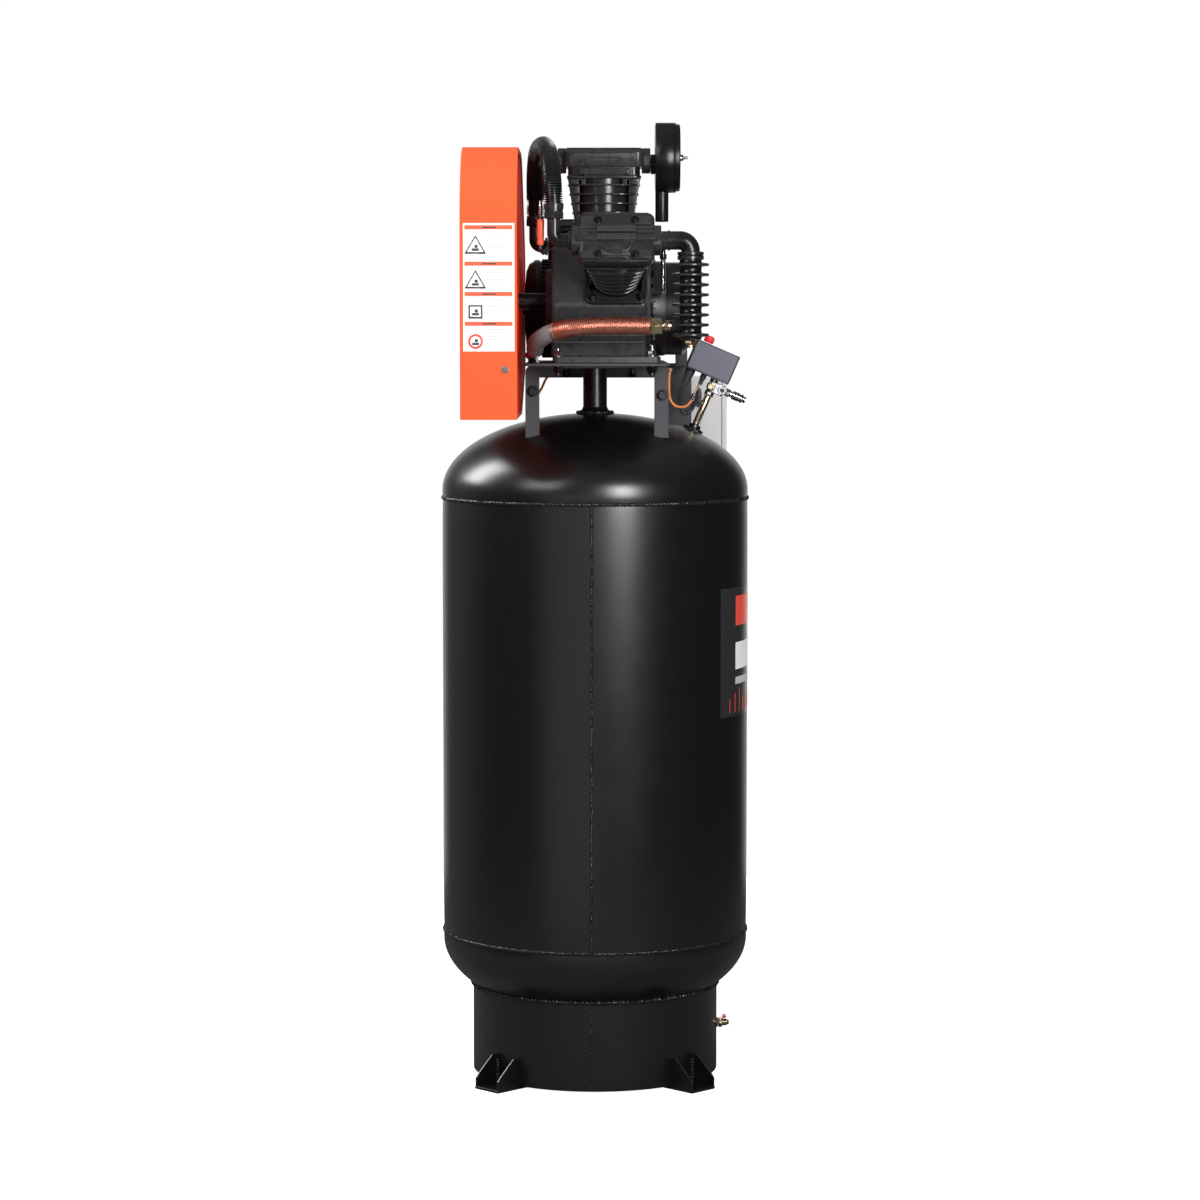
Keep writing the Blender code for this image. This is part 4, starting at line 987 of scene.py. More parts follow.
def air_filter():
    place = along_x(0.0, CRANK_Y, FILTER_Z)
    port = port_point("centre", 1)
    can = [(0.060, 0.1153), (0.0655, 0.1160), (FILTER_RADIUS, 0.1180), (FILTER_RADIUS, 0.1500),
           (0.0662, 0.1515)]
    turned("filter_canister_v", can, "satin", place, 96)
    lid = [(0.0662, 0.1516), (FILTER_RADIUS, 0.1522), (FILTER_RADIUS, 0.1545), (0.0645, 0.1552),
           (0.0640, 0.1615), (0.0620, 0.1632), (0.020, 0.1636)]
    turned("filter_lid_v", lid, "satin", place, 96)
    rod("filter_neck", 0.019, port.x, 0.1160, "satin", along_x(0.0, port.y, port.z), bevel=0.0005)
    inlet = moved(0.1287, CRANK_Y, 0.0)
    wall = [(0.0128, 1.750), (0.0128, 1.690), (0.0122, 1.6882), (0.0112, 1.6882), (0.0112, 1.750)]
    turned("filter_inlet", wall, "satin", inlet, closed=True)
    nut_place = along_x(0.1640, CRANK_Y, FILTER_Z)
    turned("filter_wing_nut_v", [(0.0065, 0.0), (0.0055, 0.006), (0.0030, 0.0065), (0.0026, 0.015)], "bolt",
           nut_place, body="filter_wing_nut", bevel=0.0003)
    for side in (-1, 1):
        wing = [(side * 0.004, 0.001), (side * 0.0125, 0.004), (side * 0.0130, 0.008),
                (side * 0.0105, 0.0095), (side * 0.004, 0.006)]
        outline = [(z, y) for y, z in wing]
        prism(f"wing_{side + 1}", outline, -0.0011, 0.0011, "bolt", nut_place @ SWAP_XZ,
              body="filter_wing_nut", bevel=0.0004)


def aftercooler():
    """Cast elbow, collar, and a core with eight thin discs."""
    port = port_point("near", 1)
    x, y, z = COOLER_X, port.y, port.z
    elbow = [(port, 0.0172), (Vector((x - 0.024, y, z)), 0.0172)]
    for i in range(9):
        angle = radians(90 * i / 8)
        elbow.append((Vector((x - 0.020 + 0.020 * sin(angle), y, z - 0.020 * (1 - cos(angle)))), 0.0174))
    elbow.append((Vector((x, y, z - 0.024)), 0.0174))
    swept("aftercooler_v", elbow, "cast_fine", 48)
    rod("aftercooler_ring", 0.0190, 0.0, 0.0035, "cast_fine", along_x(port.x + 0.012, y, z), bevel=0.0006)
    stand = moved(x, y, 0.0)
    collar = [(0.0215, 1.6262), (0.0245, 1.6252), (0.0245, 1.6200), (0.0225, 1.6190), (0.0245, 1.6180),
              (0.0245, 1.6115), (0.0215, 1.6105)]
    turned("aftercooler_collar", collar, "cast_fine", stand, 64, bevel=0.0004)
    core = []
    for i in range(8):
        disc = DISC_TOP - i * DISC_PITCH
        half_disc = [(0.0205, 0.0062), (0.0218, 0.0040), (0.0300, 0.0031), (0.0334, 0.0024),
                     (0.0345, 0.0010)]
        core += [(radius, disc + lift) for radius, lift in half_disc]
        core += [(radius, disc - lift) for radius, lift in reversed(half_disc)]
    core = [(0.0205, 1.611)] + core + [(0.0205, 1.4640), (0.0180, 1.4630)]
    turned("aftercooler_core", core, "cast_fine", stand, 72)
    union_nut("aftercooler_plug", moved(x, y, 1.4632) @ TURN_OVER, 0.0115, 0.0150, "brass")
    rod("aftercooler_outlet", 0.0105, 0.0, 0.018, "cast_fine", along_x(0.1432, y, DISCHARGE_Z),
        bevel=0.0006)


def discharge():
    """Brass union and finned copper tube; the tube is bright in front and sleeved where it turns back."""
    y = port_point("near", 1).y
    place = along_x(0.1040, y, DISCHARGE_Z)
    nut = [(0.0158, 0.0), (0.0170, 0.0012), (0.0170, 0.0200), (0.0158, 0.0215)]
    turned("discharge_union_v", nut, "brass", place, 6, bevel=0.0005)
    barb = [(0.0080, 0.021), (0.0085, 0.024), (0.0100, 0.027), (0.0100, 0.034), (0.0088, 0.0385)]
    turned("discharge_barb", barb, "brass", place, bevel=0.0004)
    line = smooth_path([(0.1035, y, DISCHARGE_Z), (0.02, y, DISCHARGE_Z + 0.0005), (-0.040, y, 1.4855),
                        (-0.078, -0.394, 1.477)], 16)
    finned("discharge_tube_v", line, 0.0152, 0.0178, 0.0036, "copper")
    bend = smooth_path([(-0.070, -0.398, 1.480), (-0.090, -0.384, 1.472), (-0.1080, -0.350, 1.459),
                        (-0.1130, -0.312, 1.446)], 10)
    pipe("discharge_sleeve", bend, 0.0165, "sleeve", 36)
    check_x, check_y = CHECK_VALVE_XY
    back = [(-0.113, -0.316, 1.447), (-0.1125, -0.280, 1.438), (check_x, -0.200, 1.433),
            (check_x, -0.050, 1.431), (check_x, 0.020, 1.430), (check_x, 0.044, 1.425),
            (check_x, check_y, 1.412), (check_x, check_y, 1.352)]
    pipe("discharge_return", smooth_path(back, 8), 0.0079, "copper")
    low = dome_height(sqrt(check_x**2 + check_y**2) - 0.012) + 0.0006
    stand = moved(check_x, check_y, 0.0)
    turned("check_valve_v", [(0.0115, low), (0.0115, 1.330), (0.0125, 1.334)], "brass", stand, bevel=0.0005)
    rod("check_valve_nut", 0.0140, 1.334, 1.3500, "brass", stand, 6, bevel=0.0008)


def breather():
    """Bright crankcase breather pipe beside the near head, with its nut."""
    stand = moved(0.1290, -0.300, 0.0)
    rod("breather_pipe", 0.0046, 1.6350, 1.5600, "chrome", stand)
    rod("breather_nut", 0.0075, 1.6240, 1.6140, "chrome", stand, 6, bevel=0.0005)
    bend = [(0.1290, -0.300, 1.5605), (0.1290, -0.297, 1.553), (0.124, -0.288, 1.548), (0.112, -0.276, 1.546)]
    pipe("breather_turn", smooth_path(bend, 6), 0.0046, "chrome", 20)


# ---------------------------------------------------------------- pressure switch group


def at_switch(u=0.0, w=0.0, y=0.0):
    base = moved(SWITCH_X, 0.0, SWITCH_Z) @ Matrix.Rotation(SWITCH_TILT, 4, "Y")
    return base @ moved(u, y, w)


def switch_stem():
    """The tank port, its nipple and the manifold block."""
    port = [(0.0175, 0.0010), (0.0165, 0.0050), (0.0125, 0.0065), (0.0115, 0.0120)]
    turned("switch_port_v", port, "tank", at_switch(), bevel=0.0006)
    bead("weld_port", [at_switch() @ Vector((0.0178 * cos(a / 5), 0.0178 * sin(a / 5), 0.0018))
                       for a in range(32)], 0.0024, "weld", 21)
    nipple = [(0.0066, 0.012), (0.0070, 0.013), (0.0070, 0.0725), (0.0066, 0.0735)]
    turned("switch_nipple_v", nipple, "zinc", at_switch())
    body = [ring(z, 0.0165, 0.0125, 0.005, 32, (0.0085, 0.0)) for z in (0.083, 0.1045)]
    solid("switch_manifold_v", body, "alloy", at_switch(), bevel=0.0018, segments=3)
    turned("manifold_collar", [(0.0095, 0.0742), (0.0100, 0.0760), (0.0100, 0.0815), (0.0085, 0.0840)],
           "alloy", at_switch(), 8, bevel=0.0004)
    rod("manifold_neck", 0.0080, 0.103, 0.1092, "alloy", at_switch(-0.001), bevel=0.0003)
    rod("manifold_port", 0.0085, 0.0, 0.0065, "alloy", at_switch(0.021, 0.095, -0.0120) @ rotated(90, "X"),
        8, bevel=0.0006)
    rod("manifold_plug", 0.0045, 0.0060, 0.0095, "black_bolt",
        at_switch(0.021, 0.095, -0.0120) @ rotated(90, "X"), 6, bevel=0.0006)


def switch_box():
    """Base, cover and side faces, with the cable gland and the unloader valve under them."""
    box = (-0.0187, 0.0)
    base = [ring(z, 0.0457, 0.0295, 0.004, 32, box) for z in (0.1094, 0.1180)]
    solid("switch_base_v", base, "plastic", at_switch(), bevel=0.0010)
    cover = [ring(z, 0.0459, 0.0310, 0.004, 32, box) for z in (0.1176, 0.1690)]
    solid("switch_cover_v", cover, "plastic", at_switch(), bevel=0.0018, segments=3)
    for side in (-1, 1):
        face = [ring(z, 0.0430, 0.0270, 0.0025, 32) for z in (0.0, 0.0007)]
        place = at_switch(-0.0187, 0.1396, side * 0.0310) @ rotated(-90 * side, "X")
        solid(f"switch_face_{side + 1}", face, "switch_face", place, bevel=0.0003)
    turned("switch_gland", [(0.0100, 0.1095), (0.0100, 0.0990), (0.0088, 0.0975), (0.0088, 0.0930)],
           "plastic", at_switch(-0.052), 12, bevel=0.0006)
    turned("gland_nut", [(0.0078, 0.0935), (0.0074, 0.0860), (0.0058, 0.0800), (0.0055, 0.0750)], "plastic",
           at_switch(-0.052), 16, bevel=0.0004)
    turned("unloader_valve", [(0.0060, 0.1095), (0.0060, 0.1010), (0.0045, 0.1000), (0.0045, 0.0885)],
           "plastic", at_switch(-0.024), 20, bevel=0.0004)
    rod("unloader_pin", 0.0026, 0.0885, 0.0840, "brass", at_switch(-0.024), 16)


def switch_knob():
    knob = [(0.0088, 0.0), (0.0098, 0.0015), (0.0098, 0.0095), (0.0088, 0.0125), (0.0060, 0.0140)]
    place = at_switch(-0.042, 0.1704)
    turned("switch_knob_v", knob, "red", place, 32, body="switch_knob", bevel=0.0004)
    for i in range(12):
        turn = place @ rotated(30 * i, "Z")
        block(f"knob_rib_{i}", (0.0090, -0.0009, 0.0020), (0.0102, 0.0009, 0.0092), "red", turn,
              bevel=0.0003, body="switch_knob")


def safety_valve():
    safety = at_switch(-0.003, 0.0936) @ along_y(0.0, -0.0124, 0.0)
    barrel = [(0.0085, 0.0), (0.0085, 0.0060), (0.0068, 0.0065), (0.0068, 0.0170), (0.0055, 0.0180)]
    turned("safety_valve_v", barrel, "brass", safety, bevel=0.0003)
    rod("safety_hex", 0.0095, 0.0, 0.0050, "brass", safety, 6, bevel=0.0005)
    loop = safety @ moved(0.0, 0.0, 0.0190)
    turned("safety_ring_v", [(0.0060, 0.0), (0.0060, 0.0016), (0.0040, 0.0016), (0.0040, 0.0)], "zinc",
           loop, 32, closed=True, body="safety_ring", bevel=0.0005)


def quick_coupler():
    place = at_switch(0.0284, 0.095) @ rotated(90, "Y")
    body = [(0.0080, 0.0), (0.0080, 0.0010), (0.0080, 0.0090), (0.0062, 0.0100), (0.0058, 0.0140),
            (0.0058, 0.0400), (0.0066, 0.0405), (0.0066, 0.0430), (0.0040, 0.0432)]
    turned("coupler_body_v", body, "chrome", place, 48, bevel=0.0002)
    rod("coupler_hex", 0.0090, 0.0010, 0.0085, "bolt", place, 6, bevel=0.0006)
    sleeve = place @ moved(0.0, 0.0, 0.0150)
    profile = [(0.0062, 0.0), (0.0080, 0.0), (0.0088, 0.0010)]
    for i in range(6):
        z = 0.0020 + i * 0.0016
        profile += [(0.0088, z), (0.0082, z + 0.0005), (0.0088, z + 0.0010)]
    profile += [(0.0088, 0.0130), (0.0076, 0.0138), (0.0076, 0.0170), (0.0086, 0.0178), (0.0086, 0.0210),
                (0.0080, 0.0220), (0.0062, 0.0220)]
    turned("coupler_sleeve_v", profile, "chrome", sleeve, 48, closed=True, body="coupler_sleeve")


def lines():
    check_x, check_y = CHECK_VALVE_XY
    tube = [
        (0.1915, 0.0, 1.3430), (0.1880, 0.0, 1.3375), (0.1800, 0.0, 1.3300), (0.1690, 0.0, 1.3285),
        (0.1560, 0.0, 1.3330), (0.1480, 0.0, 1.3480), (0.1465, 0.0, 1.3800), (0.1490, 0.030, 1.3990),
        (0.1520, 0.150, 1.4010), (0.1250, 0.200, 1.4010), (0.0000, 0.205, 1.4000),
        (-0.0850, 0.195, 1.3930), (-0.1100, 0.150, 1.3600), (check_x, 0.090, 1.3300),
        (check_x, check_y + 0.0125, 1.3250),
    ]
    pipe("unloader_tube_v", smooth_path(tube, 8), 0.0025, "orange", 20)
    ferrule = [(0.1910, 0.0, 1.3422), (0.1965, 0.0, 1.3545)]
    pipe("unloader_ferrule", ferrule, 0.0040, "chrome", bevel=0.0004)
    tail = smooth_path([(0.1960, 0.0, 1.3535), (0.2000, 0.0, 1.3610), (0.2050, 0.0, 1.3710)], 6)
    pipe("unloader_tail", tail, 0.0018, "copper", 16)
    cable = [
        (0.1754, 0.0, 1.3715), (0.1690, 0.003, 1.3540), (0.1690, 0.011, 1.3320), (0.1780, 0.014, 1.3160),
        (0.1930, 0.018, 1.3260), (0.2030, 0.060, 1.3550), (0.2100, 0.150, 1.3600),
        (0.2150, 0.260, 1.3440), (0.2155, 0.3410, 1.3290),
    ]
    pipe("switch_cable_v", smooth_path(cable, 8), 0.0045, "plastic", 20)


# ---------------------------------------------------------------- motor and guard


def motor():
    """Finned housing with end bells, fan cover, foot and terminal box."""
    place = along_x(0.0, MOTOR_Y, MOTOR_Z)
    body = [(0.020, -0.1425), (0.040, -0.1425), (0.075, -0.1400), (0.090, -0.1340), (0.096, -0.124),
            (0.096, 0.138), (0.091, 0.150)]
    turned("motor_housing_v", body, "motor", place, 96, bevel=0.0008)
    for i in range(44):
        turn = place @ Matrix.Rotation(2 * pi * i / 44, 4, "Z")
        block(f"motor_fin_{i}", (0.094, -0.0012, -0.108), (MOTOR_RADIUS, 0.0012, 0.122), "motor", turn,
              bevel=0.0006)
    turned("motor_band", [(0.097, -0.124), (0.0985, -0.122), (0.0985, -0.114), (0.097, -0.112)], "motor",
           place, 96)
    cover = [(0.0925, 0.140), (0.0940, 0.142), (0.0940, 0.176), (0.0880, 0.184), (0.0400, 0.186),
             (0.0400, 0.184)]
    turned("motor_fan_cover", cover, "satin", place, 96, bevel=0.0006)
    for i in range(5):
        radius = 0.045 + i * 0.009
        turned(f"fan_slot_{i}", [(radius, 0.1862), (radius + 0.003, 0.1862), (radius + 0.003, 0.1850),
                                 (radius, 0.1850)], "print_black", place, 64, closed=True)
    foot = (-0.040, MOTOR_Y - 0.075, PLATE_TOP + GAP)
    block("motor_foot", foot, (0.115, MOTOR_Y + 0.075, MOTOR_FOOT_TOP), "motor", bevel=0.002)
    for x in (-0.028, 0.103):
        for y in (MOTOR_Y - 0.062, MOTOR_Y + 0.062):
            hex_bolt(f"motor_bolt_{x}_{y:.2f}", moved(x, y, MOTOR_FOOT_TOP), 0.013, "bolt", 0.008)
    block("terminal_neck", (0.168, 0.2560, 1.4500), (0.182, 0.2850, 1.4640), "motor")
    # The box under the lid takes the darker copy of the lid's paint: painted shade.
    block("terminal_box", (0.1655, 0.2750, 1.4042), (0.1898, 0.3038, 1.4400), "terminal_shaded", bevel=0.0025)
    block("terminal_lid", (0.1650, 0.2745, 1.4400), (0.1900, 0.3040, 1.4660), "terminal", bevel=0.0015)


def belt_outline(extra, steps=40):
    span = Vector((MOTOR_Y - CRANK_Y, MOTOR_Z - CRANK_Z))
    slope = span.angle_signed(Vector((1.0, 0.0)))
    lead = pi / 2 - (FLYWHEEL_RADIUS - PULLEY_RADIUS) / span.length
    points = []
    for i in range(2 * steps + 1):
        angle = slope + lead + (2 * pi - 2 * lead) * i / (2 * steps)
        points.append((CRANK_Y + (FLYWHEEL_RADIUS + extra) * cos(angle),
                       CRANK_Z + (FLYWHEEL_RADIUS + extra) * sin(angle)))
    for i in range(steps + 1):
        angle = slope - lead + 2 * lead * i / steps
        points.append((MOTOR_Y + (PULLEY_RADIUS + extra) * cos(angle),
                       MOTOR_Z + (PULLEY_RADIUS + extra) * sin(angle)))
    return points


def belts():
    """Two V-belts in the CAD band's place."""
    low = BELT_X[0]
    for index, start in enumerate((low + 0.0045, low + 0.0235)):
        rings = []
        for x, extra in ((start, 0.0060), (start + 0.013, 0.0060), (start + 0.0105, 0.0005),
                         (start + 0.0025, 0.0005)):
            rings.append([Vector((x, y, z)) for y, z in belt_outline(extra)])
        made = solid(f"belt_{index}", rings, "rubber", closed=True)
        if index == 0:
            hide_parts("drive_belt")


def pulley():
    place = along_x(0.0, MOTOR_Y, MOTOR_Z)
    low, high = BELT_X
    rim = [(0.0127, low), (PULLEY_RADIUS, low)]
    for start in (low + 0.003, low + 0.022):
        rim += [(PULLEY_RADIUS, start), (0.050, start + 0.004), (0.050, start + 0.012),
                (PULLEY_RADIUS, start + 0.016)]
    rim += [(PULLEY_RADIUS, high), (0.0127, high)]
    turned("motor_pulley_v", rim, "cast_fine", place, 64, closed=True, body="motor_rotor")


def guard_outline(steps=12):
    near, rear = GUARD_Y
    top, bottom = GUARD_TOP, GUARD_BOTTOM
    outline = [(near, bottom), (-0.020, bottom), (rear, bottom + 0.090)]
    outline += arc((rear - 0.110, 1.570), 0.110, 0, 60, steps)
    outline += arc((-0.060, top - 0.200), 0.200, 60, 90, 6)
    outline += arc((near + 0.150, top - 0.150), 0.150, 90, 180, steps)
    return outline


def drawn_in(outline, distance):
    """The outline moved inwards by a distance, point by point."""
    count = len(outline)
    found = []
    for i in range(count):
        a, b, c = (Vector(outline[j % count]) for j in (i - 1, i, i + 1))
        first = (b - a).normalized()
        second = (c - b).normalized()
        normal = (Vector((-first.y, first.x)) + Vector((-second.y, second.x))).normalized()
        stretch = 1 / max(0.4, normal.dot(Vector((-first.y, first.x))))
        found.append(tuple(b + normal * distance * stretch))
    return found


def belt_guard():
    """Folded sheet cover with a return lip, and an expanded-metal panel in its open side."""
    low, high = GUARD_X
    outer = guard_outline()
    closed_side = 4
    rings = []
    for x, inset in ((high, 0.010), (high, 0.0012), (high - 0.0012, 0.0), (low + 0.0015, 0.0),
                     (low, 0.0015)):
        rings.append([Vector((x, y, z)) for y, z in drawn_in(outer, inset)])
    for x, inset in ((low + 0.0016, 0.0032), (high - 0.0016, 0.0018), (high - 0.0016, 0.010)):
        rings.append([Vector((x, y, z)) for y, z in drawn_in(outer, inset)])
    shape = bmesh.new()
    rows = [[shape.verts.new(point) for point in points] for points in rings]
    count = len(outer)
    for i in range(len(rows)):
        first, second = rows[i], rows[(i + 1) % len(rows)]
        if i == closed_side:
            shape.faces.new(first)
            shape.faces.new(second)
            continue
        for j in range(count):
            k = (j + 1) % count
            shape.faces.new((first[j], first[k], second[k], second[j]))
    link("guard_cover_v", finish_mesh("guard_cover_v", shape), "guard")
    mesh_panel()
    hex_bolt("guard_bolt_near", along_y(-0.1665, -0.4200, 1.4079), 0.0095, "bolt", 0.0035)
    for y, z in ((-0.380, 1.335), (0.270, 1.445), (0.275, 1.580), (-0.06, 1.79)):
        spot = along_x(low, y, z) @ TURN_OVER
        turned(f"guard_screw_{y}", [(0.0070, -0.0002), (0.0066, 0.0002)], "bolt", spot, 24)


def inside_outline(point, outline):
    """Whether a (y, z) point lies inside the outline."""
    inside = False
    count = len(outline)
    for i in range(count):
        (x1, y1), (x2, y2) = outline[i], outline[(i + 1) % count]
        if (y1 > point[1]) != (y2 > point[1]) and point[0] < (x2 - x1) * (point[1] - y1) / (y2 - y1) + x1:
            inside = not inside
    return inside


def mesh_panel():
    """Diamond mesh: flat strands crossing both ways, clipped to the guard's opening."""
    x = GUARD_X[1] - 0.0030
    rim = drawn_in(guard_outline(), 0.0090)
    holes = ((CRANK_Y, CRANK_Z, 0.034), (MOTOR_Y, MOTOR_Z, 0.048))
    shape = bmesh.new()
    pitch_y, pitch_z, half = 0.0150, 0.0075, 0.0011
    for tilt in (1, -1):
        slope = Vector((pitch_y, tilt * pitch_z)).normalized()
        across = Vector((-slope.y, slope.x)) * half
        reach = 140
        for lane in range(-reach, reach):
            start = Vector((-0.42, GUARD_BOTTOM + lane * pitch_z))
            run = []
            for step in range(110):
                point = start + slope * step * 0.0090
                free = all((point.x - hy) ** 2 + (point.y - hz) ** 2 > hr**2 for hy, hz, hr in holes)
                if inside_outline(point, rim) and free:
                    run.append(point)
                    continue
                add_strand(shape, run, across, x, tilt)
                run = []
            add_strand(shape, run, across, x, tilt)
    link("guard_panel_v", finish_mesh("guard_panel_v", shape), "mesh", smooth=False)
    for index, (y, z, radius) in enumerate(holes):
        band = [(radius + 0.002, 0.0), (radius + 0.002, 0.0016), (radius - 0.001, 0.0016),
                (radius - 0.001, 0.0)]
        turned(f"guard_panel_ring_{index}", band, "mesh", along_x(x - 0.0008, y, z), 48, closed=True)


def add_strand(shape, run, across, x, tilt):
    """One straight flat strand between a run's ends."""
    if len(run) < 2:
        return
    start, end = run[0], run[-1]
    lift = 0.0004 * tilt
    corners = []
    for point in (start, end):
        for side in (-1, 1):
            for depth in (-0.0005, 0.0005):
                spot = point + across * side
                corners.append(shape.verts.new((x + lift + depth, spot.x, spot.y)))
    a, b, c, d, e, f, g, h = corners
    for face in ((a, b, d, c), (e, g, h, f), (a, e, f, b), (c, d, h, g), (a, c, g, e), (b, f, h, d)):
        shape.faces.new(face)


def guard_label():
    """A white notice with four plain blocks; its words and pictures are left out."""
    y = GUARD_Y[0] - 0.0002

    def card(name, x0, z0, x1, z1, lift, mat):
        block(name, (x0, y - lift, z0), (x1, y + 0.0001, z1), mat, bevel=0.0)

    left, right = -0.2440, -0.1486
    card("label_sheet", left, 1.4416, right, 1.6785, 0.0004, "white")
    tops = (1.6755, 1.6085, 1.5525, 1.4975)
    for i, top in enumerate(tops):
        depth = (0.046, 0.043, 0.042, 0.042)[i]
        card(f"label_head_{i}", left + 0.003, top - 0.0085, right - 0.004, top - 0.001, 0.0007,
             "print_orange")
        card(f"label_head_mark_{i}", left + 0.036, top - 0.0062, right - 0.034, top - 0.0036, 0.0009,
             "print_black")
        low = top - 0.0100 - depth
        frame_line = 0.0007
        for part, (x0, z0, x1, z1) in enumerate((
            (left + 0.003, top - 0.0105, right - 0.004, top - 0.0105 + frame_line),
            (left + 0.003, low, right - 0.004, low + frame_line),
            (left + 0.003, low, left + 0.003 + frame_line, top - 0.0100),
            (right - 0.004 - frame_line, low, right - 0.004, top - 0.0100),
        )):
            card(f"label_frame_{i}_{part}", x0, z0, x1, z1, 0.0007, "print_grey")
        for row in range(5):
            z = top - 0.0160 - row * 0.0062
            card(f"label_text_{i}_{row}", left + 0.044, z, right - 0.010 - 0.008 * (row % 3), z + 0.0014,
                 0.0007, "print_grey")
        centre = Vector((left + 0.023, y - 0.0004, low + 0.0145))
        sign(f"label_sign_{i}", centre, i)


def sign(name, centre, index):
    """An outline with two plain marks in it: triangles above, a square and a circle below."""
    if index < 2:
        corners = [(-0.0180, -0.0105), (0.0180, -0.0105), (0.0, 0.0205)]
    elif index == 2:
        corners = [(-0.0115, -0.011), (0.0115, -0.011), (0.0115, 0.011), (-0.0115, 0.011)]
    else:
        corners = [(0.012 * cos(pi * i / 8), 0.012 * sin(pi * i / 8)) for i in range(16)]
    path = [centre + Vector((x, 0.0, z)) for x, z in corners + corners[:2]]
    pipe(name, path, 0.0020, "print_black" if index < 3 else "decal_red", 6)
    marks = ((0.0, -0.0045, 0.0065, 0.0022), (0.0015, 0.0015, 0.0028, 0.0028))
    for part, (x, z, half_x, half_z) in enumerate(marks):
        low = centre + Vector((x - half_x, -0.0004, z - half_z))
        high = centre + Vector((x + half_x, 0.0006, z + half_z))
        block(f"{name}_mark_{part}", low, high, "print_black", bevel=0.0)


def starter():
    block("starter_box_v", (0.1555, 0.342, 1.184), (0.2630, 0.452, 1.384), "box", bevel=0.0025)
    block("starter_cover_v", (0.2636, 0.3416, 1.1835), (0.2736, 0.4526, 1.3845), "box", bevel=0.0020,
          body="starter_cover")
    for index, (z, mat) in enumerate(((1.315, "red"), (1.275, "print_black"))):
        place = along_x(0.2732, 0.397, z)
        rod(f"starter_button_{index}", 0.0130, -0.001, 0.0003, mat, place, 32, body="starter_cover")
    for i in range(2):
        hinge = moved(0.2636, 0.4500, 1.214 + i * 0.120)
        rod(f"starter_hinge_{i}", 0.0022, 0.0, 0.026, "bolt", hinge, 16)
    for low, high in (((0.1430, 0.2250, 1.240), (0.1470, 0.3410, 1.4115)),
                      ((0.1432, 0.3370, 1.240), (0.2000, 0.3408, 1.4115))):
        made = block(f"starter_angle_{low[0]:.4f}", low, high, "grey", bevel=0.0008)
    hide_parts("starter_bracket")
    turned("starter_gland", [(0.0085, 0.0), (0.0085, 0.006), (0.0065, 0.009)], "plastic",
           along_y(0.2155, 0.3425, 1.3290), 20, bevel=0.0005)


# ---------------------------------------------------------------- CAD pieces kept


def kept(node, mat):
    """Gives a CAD node that stays in the picture its material."""
    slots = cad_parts[node].data.materials
    slots.clear()
    slots.append(MATERIALS[mat])


def kept_nodes():
    kept("drain_pipe", "tank")
    kept("crankshaft", "black_bolt")
    kept("motor_rotor", "black_bolt")
    for key in BANKS:
        kept("piston_" + key, "alloy")
        kept("rod_" + key, "alloy")


# ---------------------------------------------------------------- studio


def area_light(name, place, target, size, power, mirrored=True):
    data = bpy.data.lights.new(name, "AREA")
    data.shape = "RECTANGLE"
    data.size, data.size_y = size
    data.energy = power
    made = bpy.data.objects.new(name, data)
    made.visible_glossy = mirrored
    made.location = place
    made.rotation_euler = (Vector(target) - Vector(place)).to_track_quat("-Z", "Y").to_euler()
    bpy.context.scene.collection.objects.link(made)


def surroundings():
    """White to the camera, even fill on matt surfaces, and a dim room in reflections, lighter on the left."""
    world = bpy.data.worlds.new("studio")
    bpy.context.scene.world = world
    world.use_nodes = True
    tree = world.node_tree

    def add(kind, **inputs):
        node = tree.nodes.new(kind)
        for key, value in inputs.items():
            node.inputs[key].default_value = value
        return node

    def ramp(source, low, high, start, end):
        node = add("ShaderNodeMapRange", **{"From Min": start, "From Max": end, "To Min": low,
                                            "To Max": high})
        tree.links.new(source, node.inputs["Value"])
        return node.outputs["Result"]

    def combine(operation, first, second):
        node = tree.nodes.new("ShaderNodeMath")
        node.operation = operation
        for socket, value in zip(node.inputs, (first, second)):
            if isinstance(value, float):
                socket.default_value = value
            else:
                tree.links.new(value, socket)
        return node.outputs[0]

    axes = add("ShaderNodeSeparateXYZ")
    tree.links.new(add("ShaderNodeTexCoord").outputs["Generated"], axes.inputs[0])
    left = ramp(axes.outputs["X"], 0.13, 0.0, -0.85, -0.25)
    behind = ramp(axes.outputs["Y"], 0.0, 1.0, -0.1, 0.5)
    high = ramp(axes.outputs["Z"], 0.0, 0.16, 0.55, 0.98)
    backdrop = ramp(axes.outputs["Y"], 0.0, 0.9, 0.84, 0.97)
    front = combine("MULTIPLY", ramp(axes.outputs["X"], 0.40, 0.0, -0.05, 0.12),
                    ramp(axes.outputs["Y"], 1.0, 0.0, -0.86, -0.70))
    level = combine("MULTIPLY", ramp(axes.outputs["Z"], 0.0, 1.0, -0.30, -0.16),
                    ramp(axes.outputs["Z"], 1.0, 0.0, 0.02, 0.16))
    room = combine("ADD", combine("MULTIPLY", left, behind), combine("MULTIPLY", front, level))
    room = combine("ADD", room, 0.030)
    gloss = combine("ADD", combine("ADD", room, high), backdrop)
    rays = add("ShaderNodeLightPath")
    strength = combine("ADD", combine("MULTIPLY", rays.outputs["Is Glossy Ray"],
                                      combine("SUBTRACT", gloss, FILL)), FILL)
    camera_part = combine("MULTIPLY", rays.outputs["Is Camera Ray"], combine("SUBTRACT", 1.02, strength))
    shader = tree.nodes["Background"]
    shader.inputs["Color"].default_value = (1.0, 1.0, 1.0, 1.0)
    tree.links.new(combine("ADD", strength, camera_part), shader.inputs["Strength"])


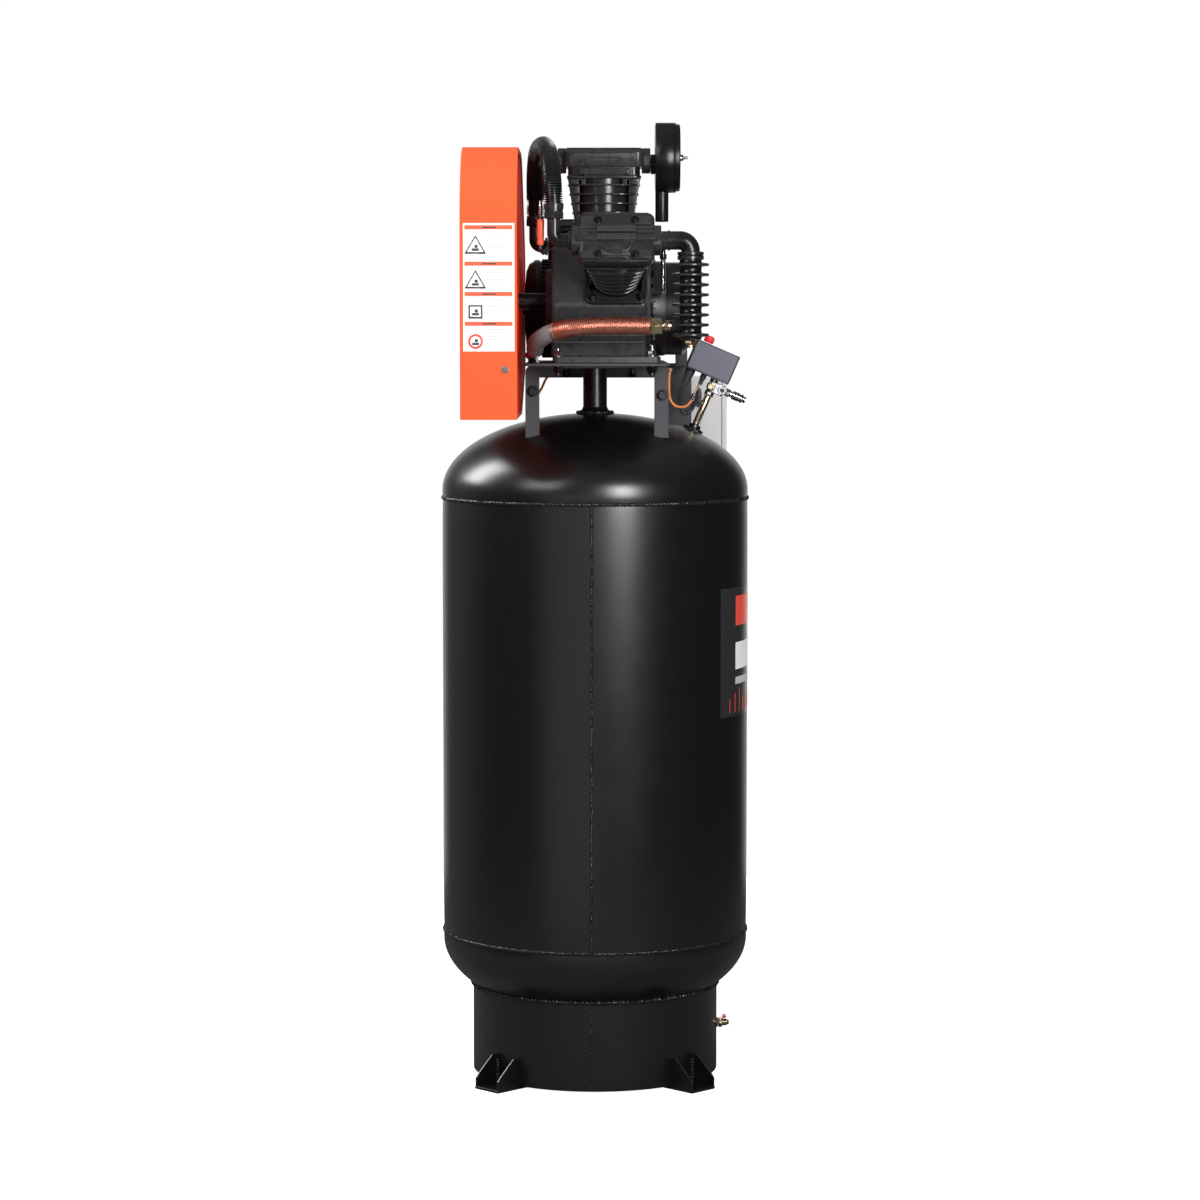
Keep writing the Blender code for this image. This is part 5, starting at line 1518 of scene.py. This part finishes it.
def studio():
    surroundings()
    bpy.ops.mesh.primitive_circle_add(vertices=96, radius=2.4, fill_type="NGON",
                                      location=(0.0, 0.0, -0.0005))
    floor = bpy.context.object
    floor.name = "floor"
    made = Nodes("floor_paper")
    seen = made.add("ShaderNodeLightPath").outputs["Is Camera Ray"]
    made.link(made.mix(seen, (0.13, 0.13, 0.13), (0.86, 0.86, 0.86)), made.shader, "Base Color")
    made.link(made.spread(made.noise(2.0), 0.75, 0.85), made.shader, "Roughness")
    made.set("Specular IOR Level", 0.1)
    made.set("Emission Color", (1.0, 1.0, 1.0, 1.0))
    made.link(seen, made.shader, "Emission Strength")
    floor.data.materials.append(made.material)
    area_light("key", (1.05, -2.85, 1.80), (0.0, 0.0, 1.15), (0.8, 1.3), 52)
    area_light("fill", (-2.2, -2.5, 3.0), (0.0, 0.0, 1.3), (1.6, 1.6), 28)
    area_light("side", (-2.1, 0.55, 2.45), (-0.2, 0.0, 1.2), (0.9, 1.3), 40)
    area_light("rim", (2.2, 0.9, 2.6), (0.0, 0.0, 1.3), (0.9, 1.2), 5, mirrored=False)
    area_light("top", (0.0, -0.9, 3.4), (0.0, 0.0, 1.5), (1.3, 1.3), 12, mirrored=False)
    camera = bpy.data.cameras.new("camera")
    camera.lens = CAMERA_LENS
    camera.sensor_width = SENSOR_WIDTH
    made = bpy.data.objects.new("camera", camera)
    made.location = CAMERA_PLACE
    made.rotation_euler = (radians(90 - CAMERA_PITCH), 0.0, 0.0)
    bpy.context.scene.collection.objects.link(made)
    bpy.context.scene.camera = made
    bpy.context.scene.view_settings.view_transform = "Standard"


def main():
    kept_nodes()
    tank()
    tank_decal()
    base_ring()
    for index in range(1, 5):
        foot(index, 45 + 90 * (index - 1))
    drain()
    platform()
    pump()
    flywheel()
    intercooler()
    air_filter()
    aftercooler()
    discharge()
    breather()
    switch_stem()
    switch_box()
    switch_knob()
    safety_valve()
    quick_coupler()
    lines()
    motor()
    pulley()
    belts()
    belt_guard()
    guard_label()
    starter()
    studio()


main()
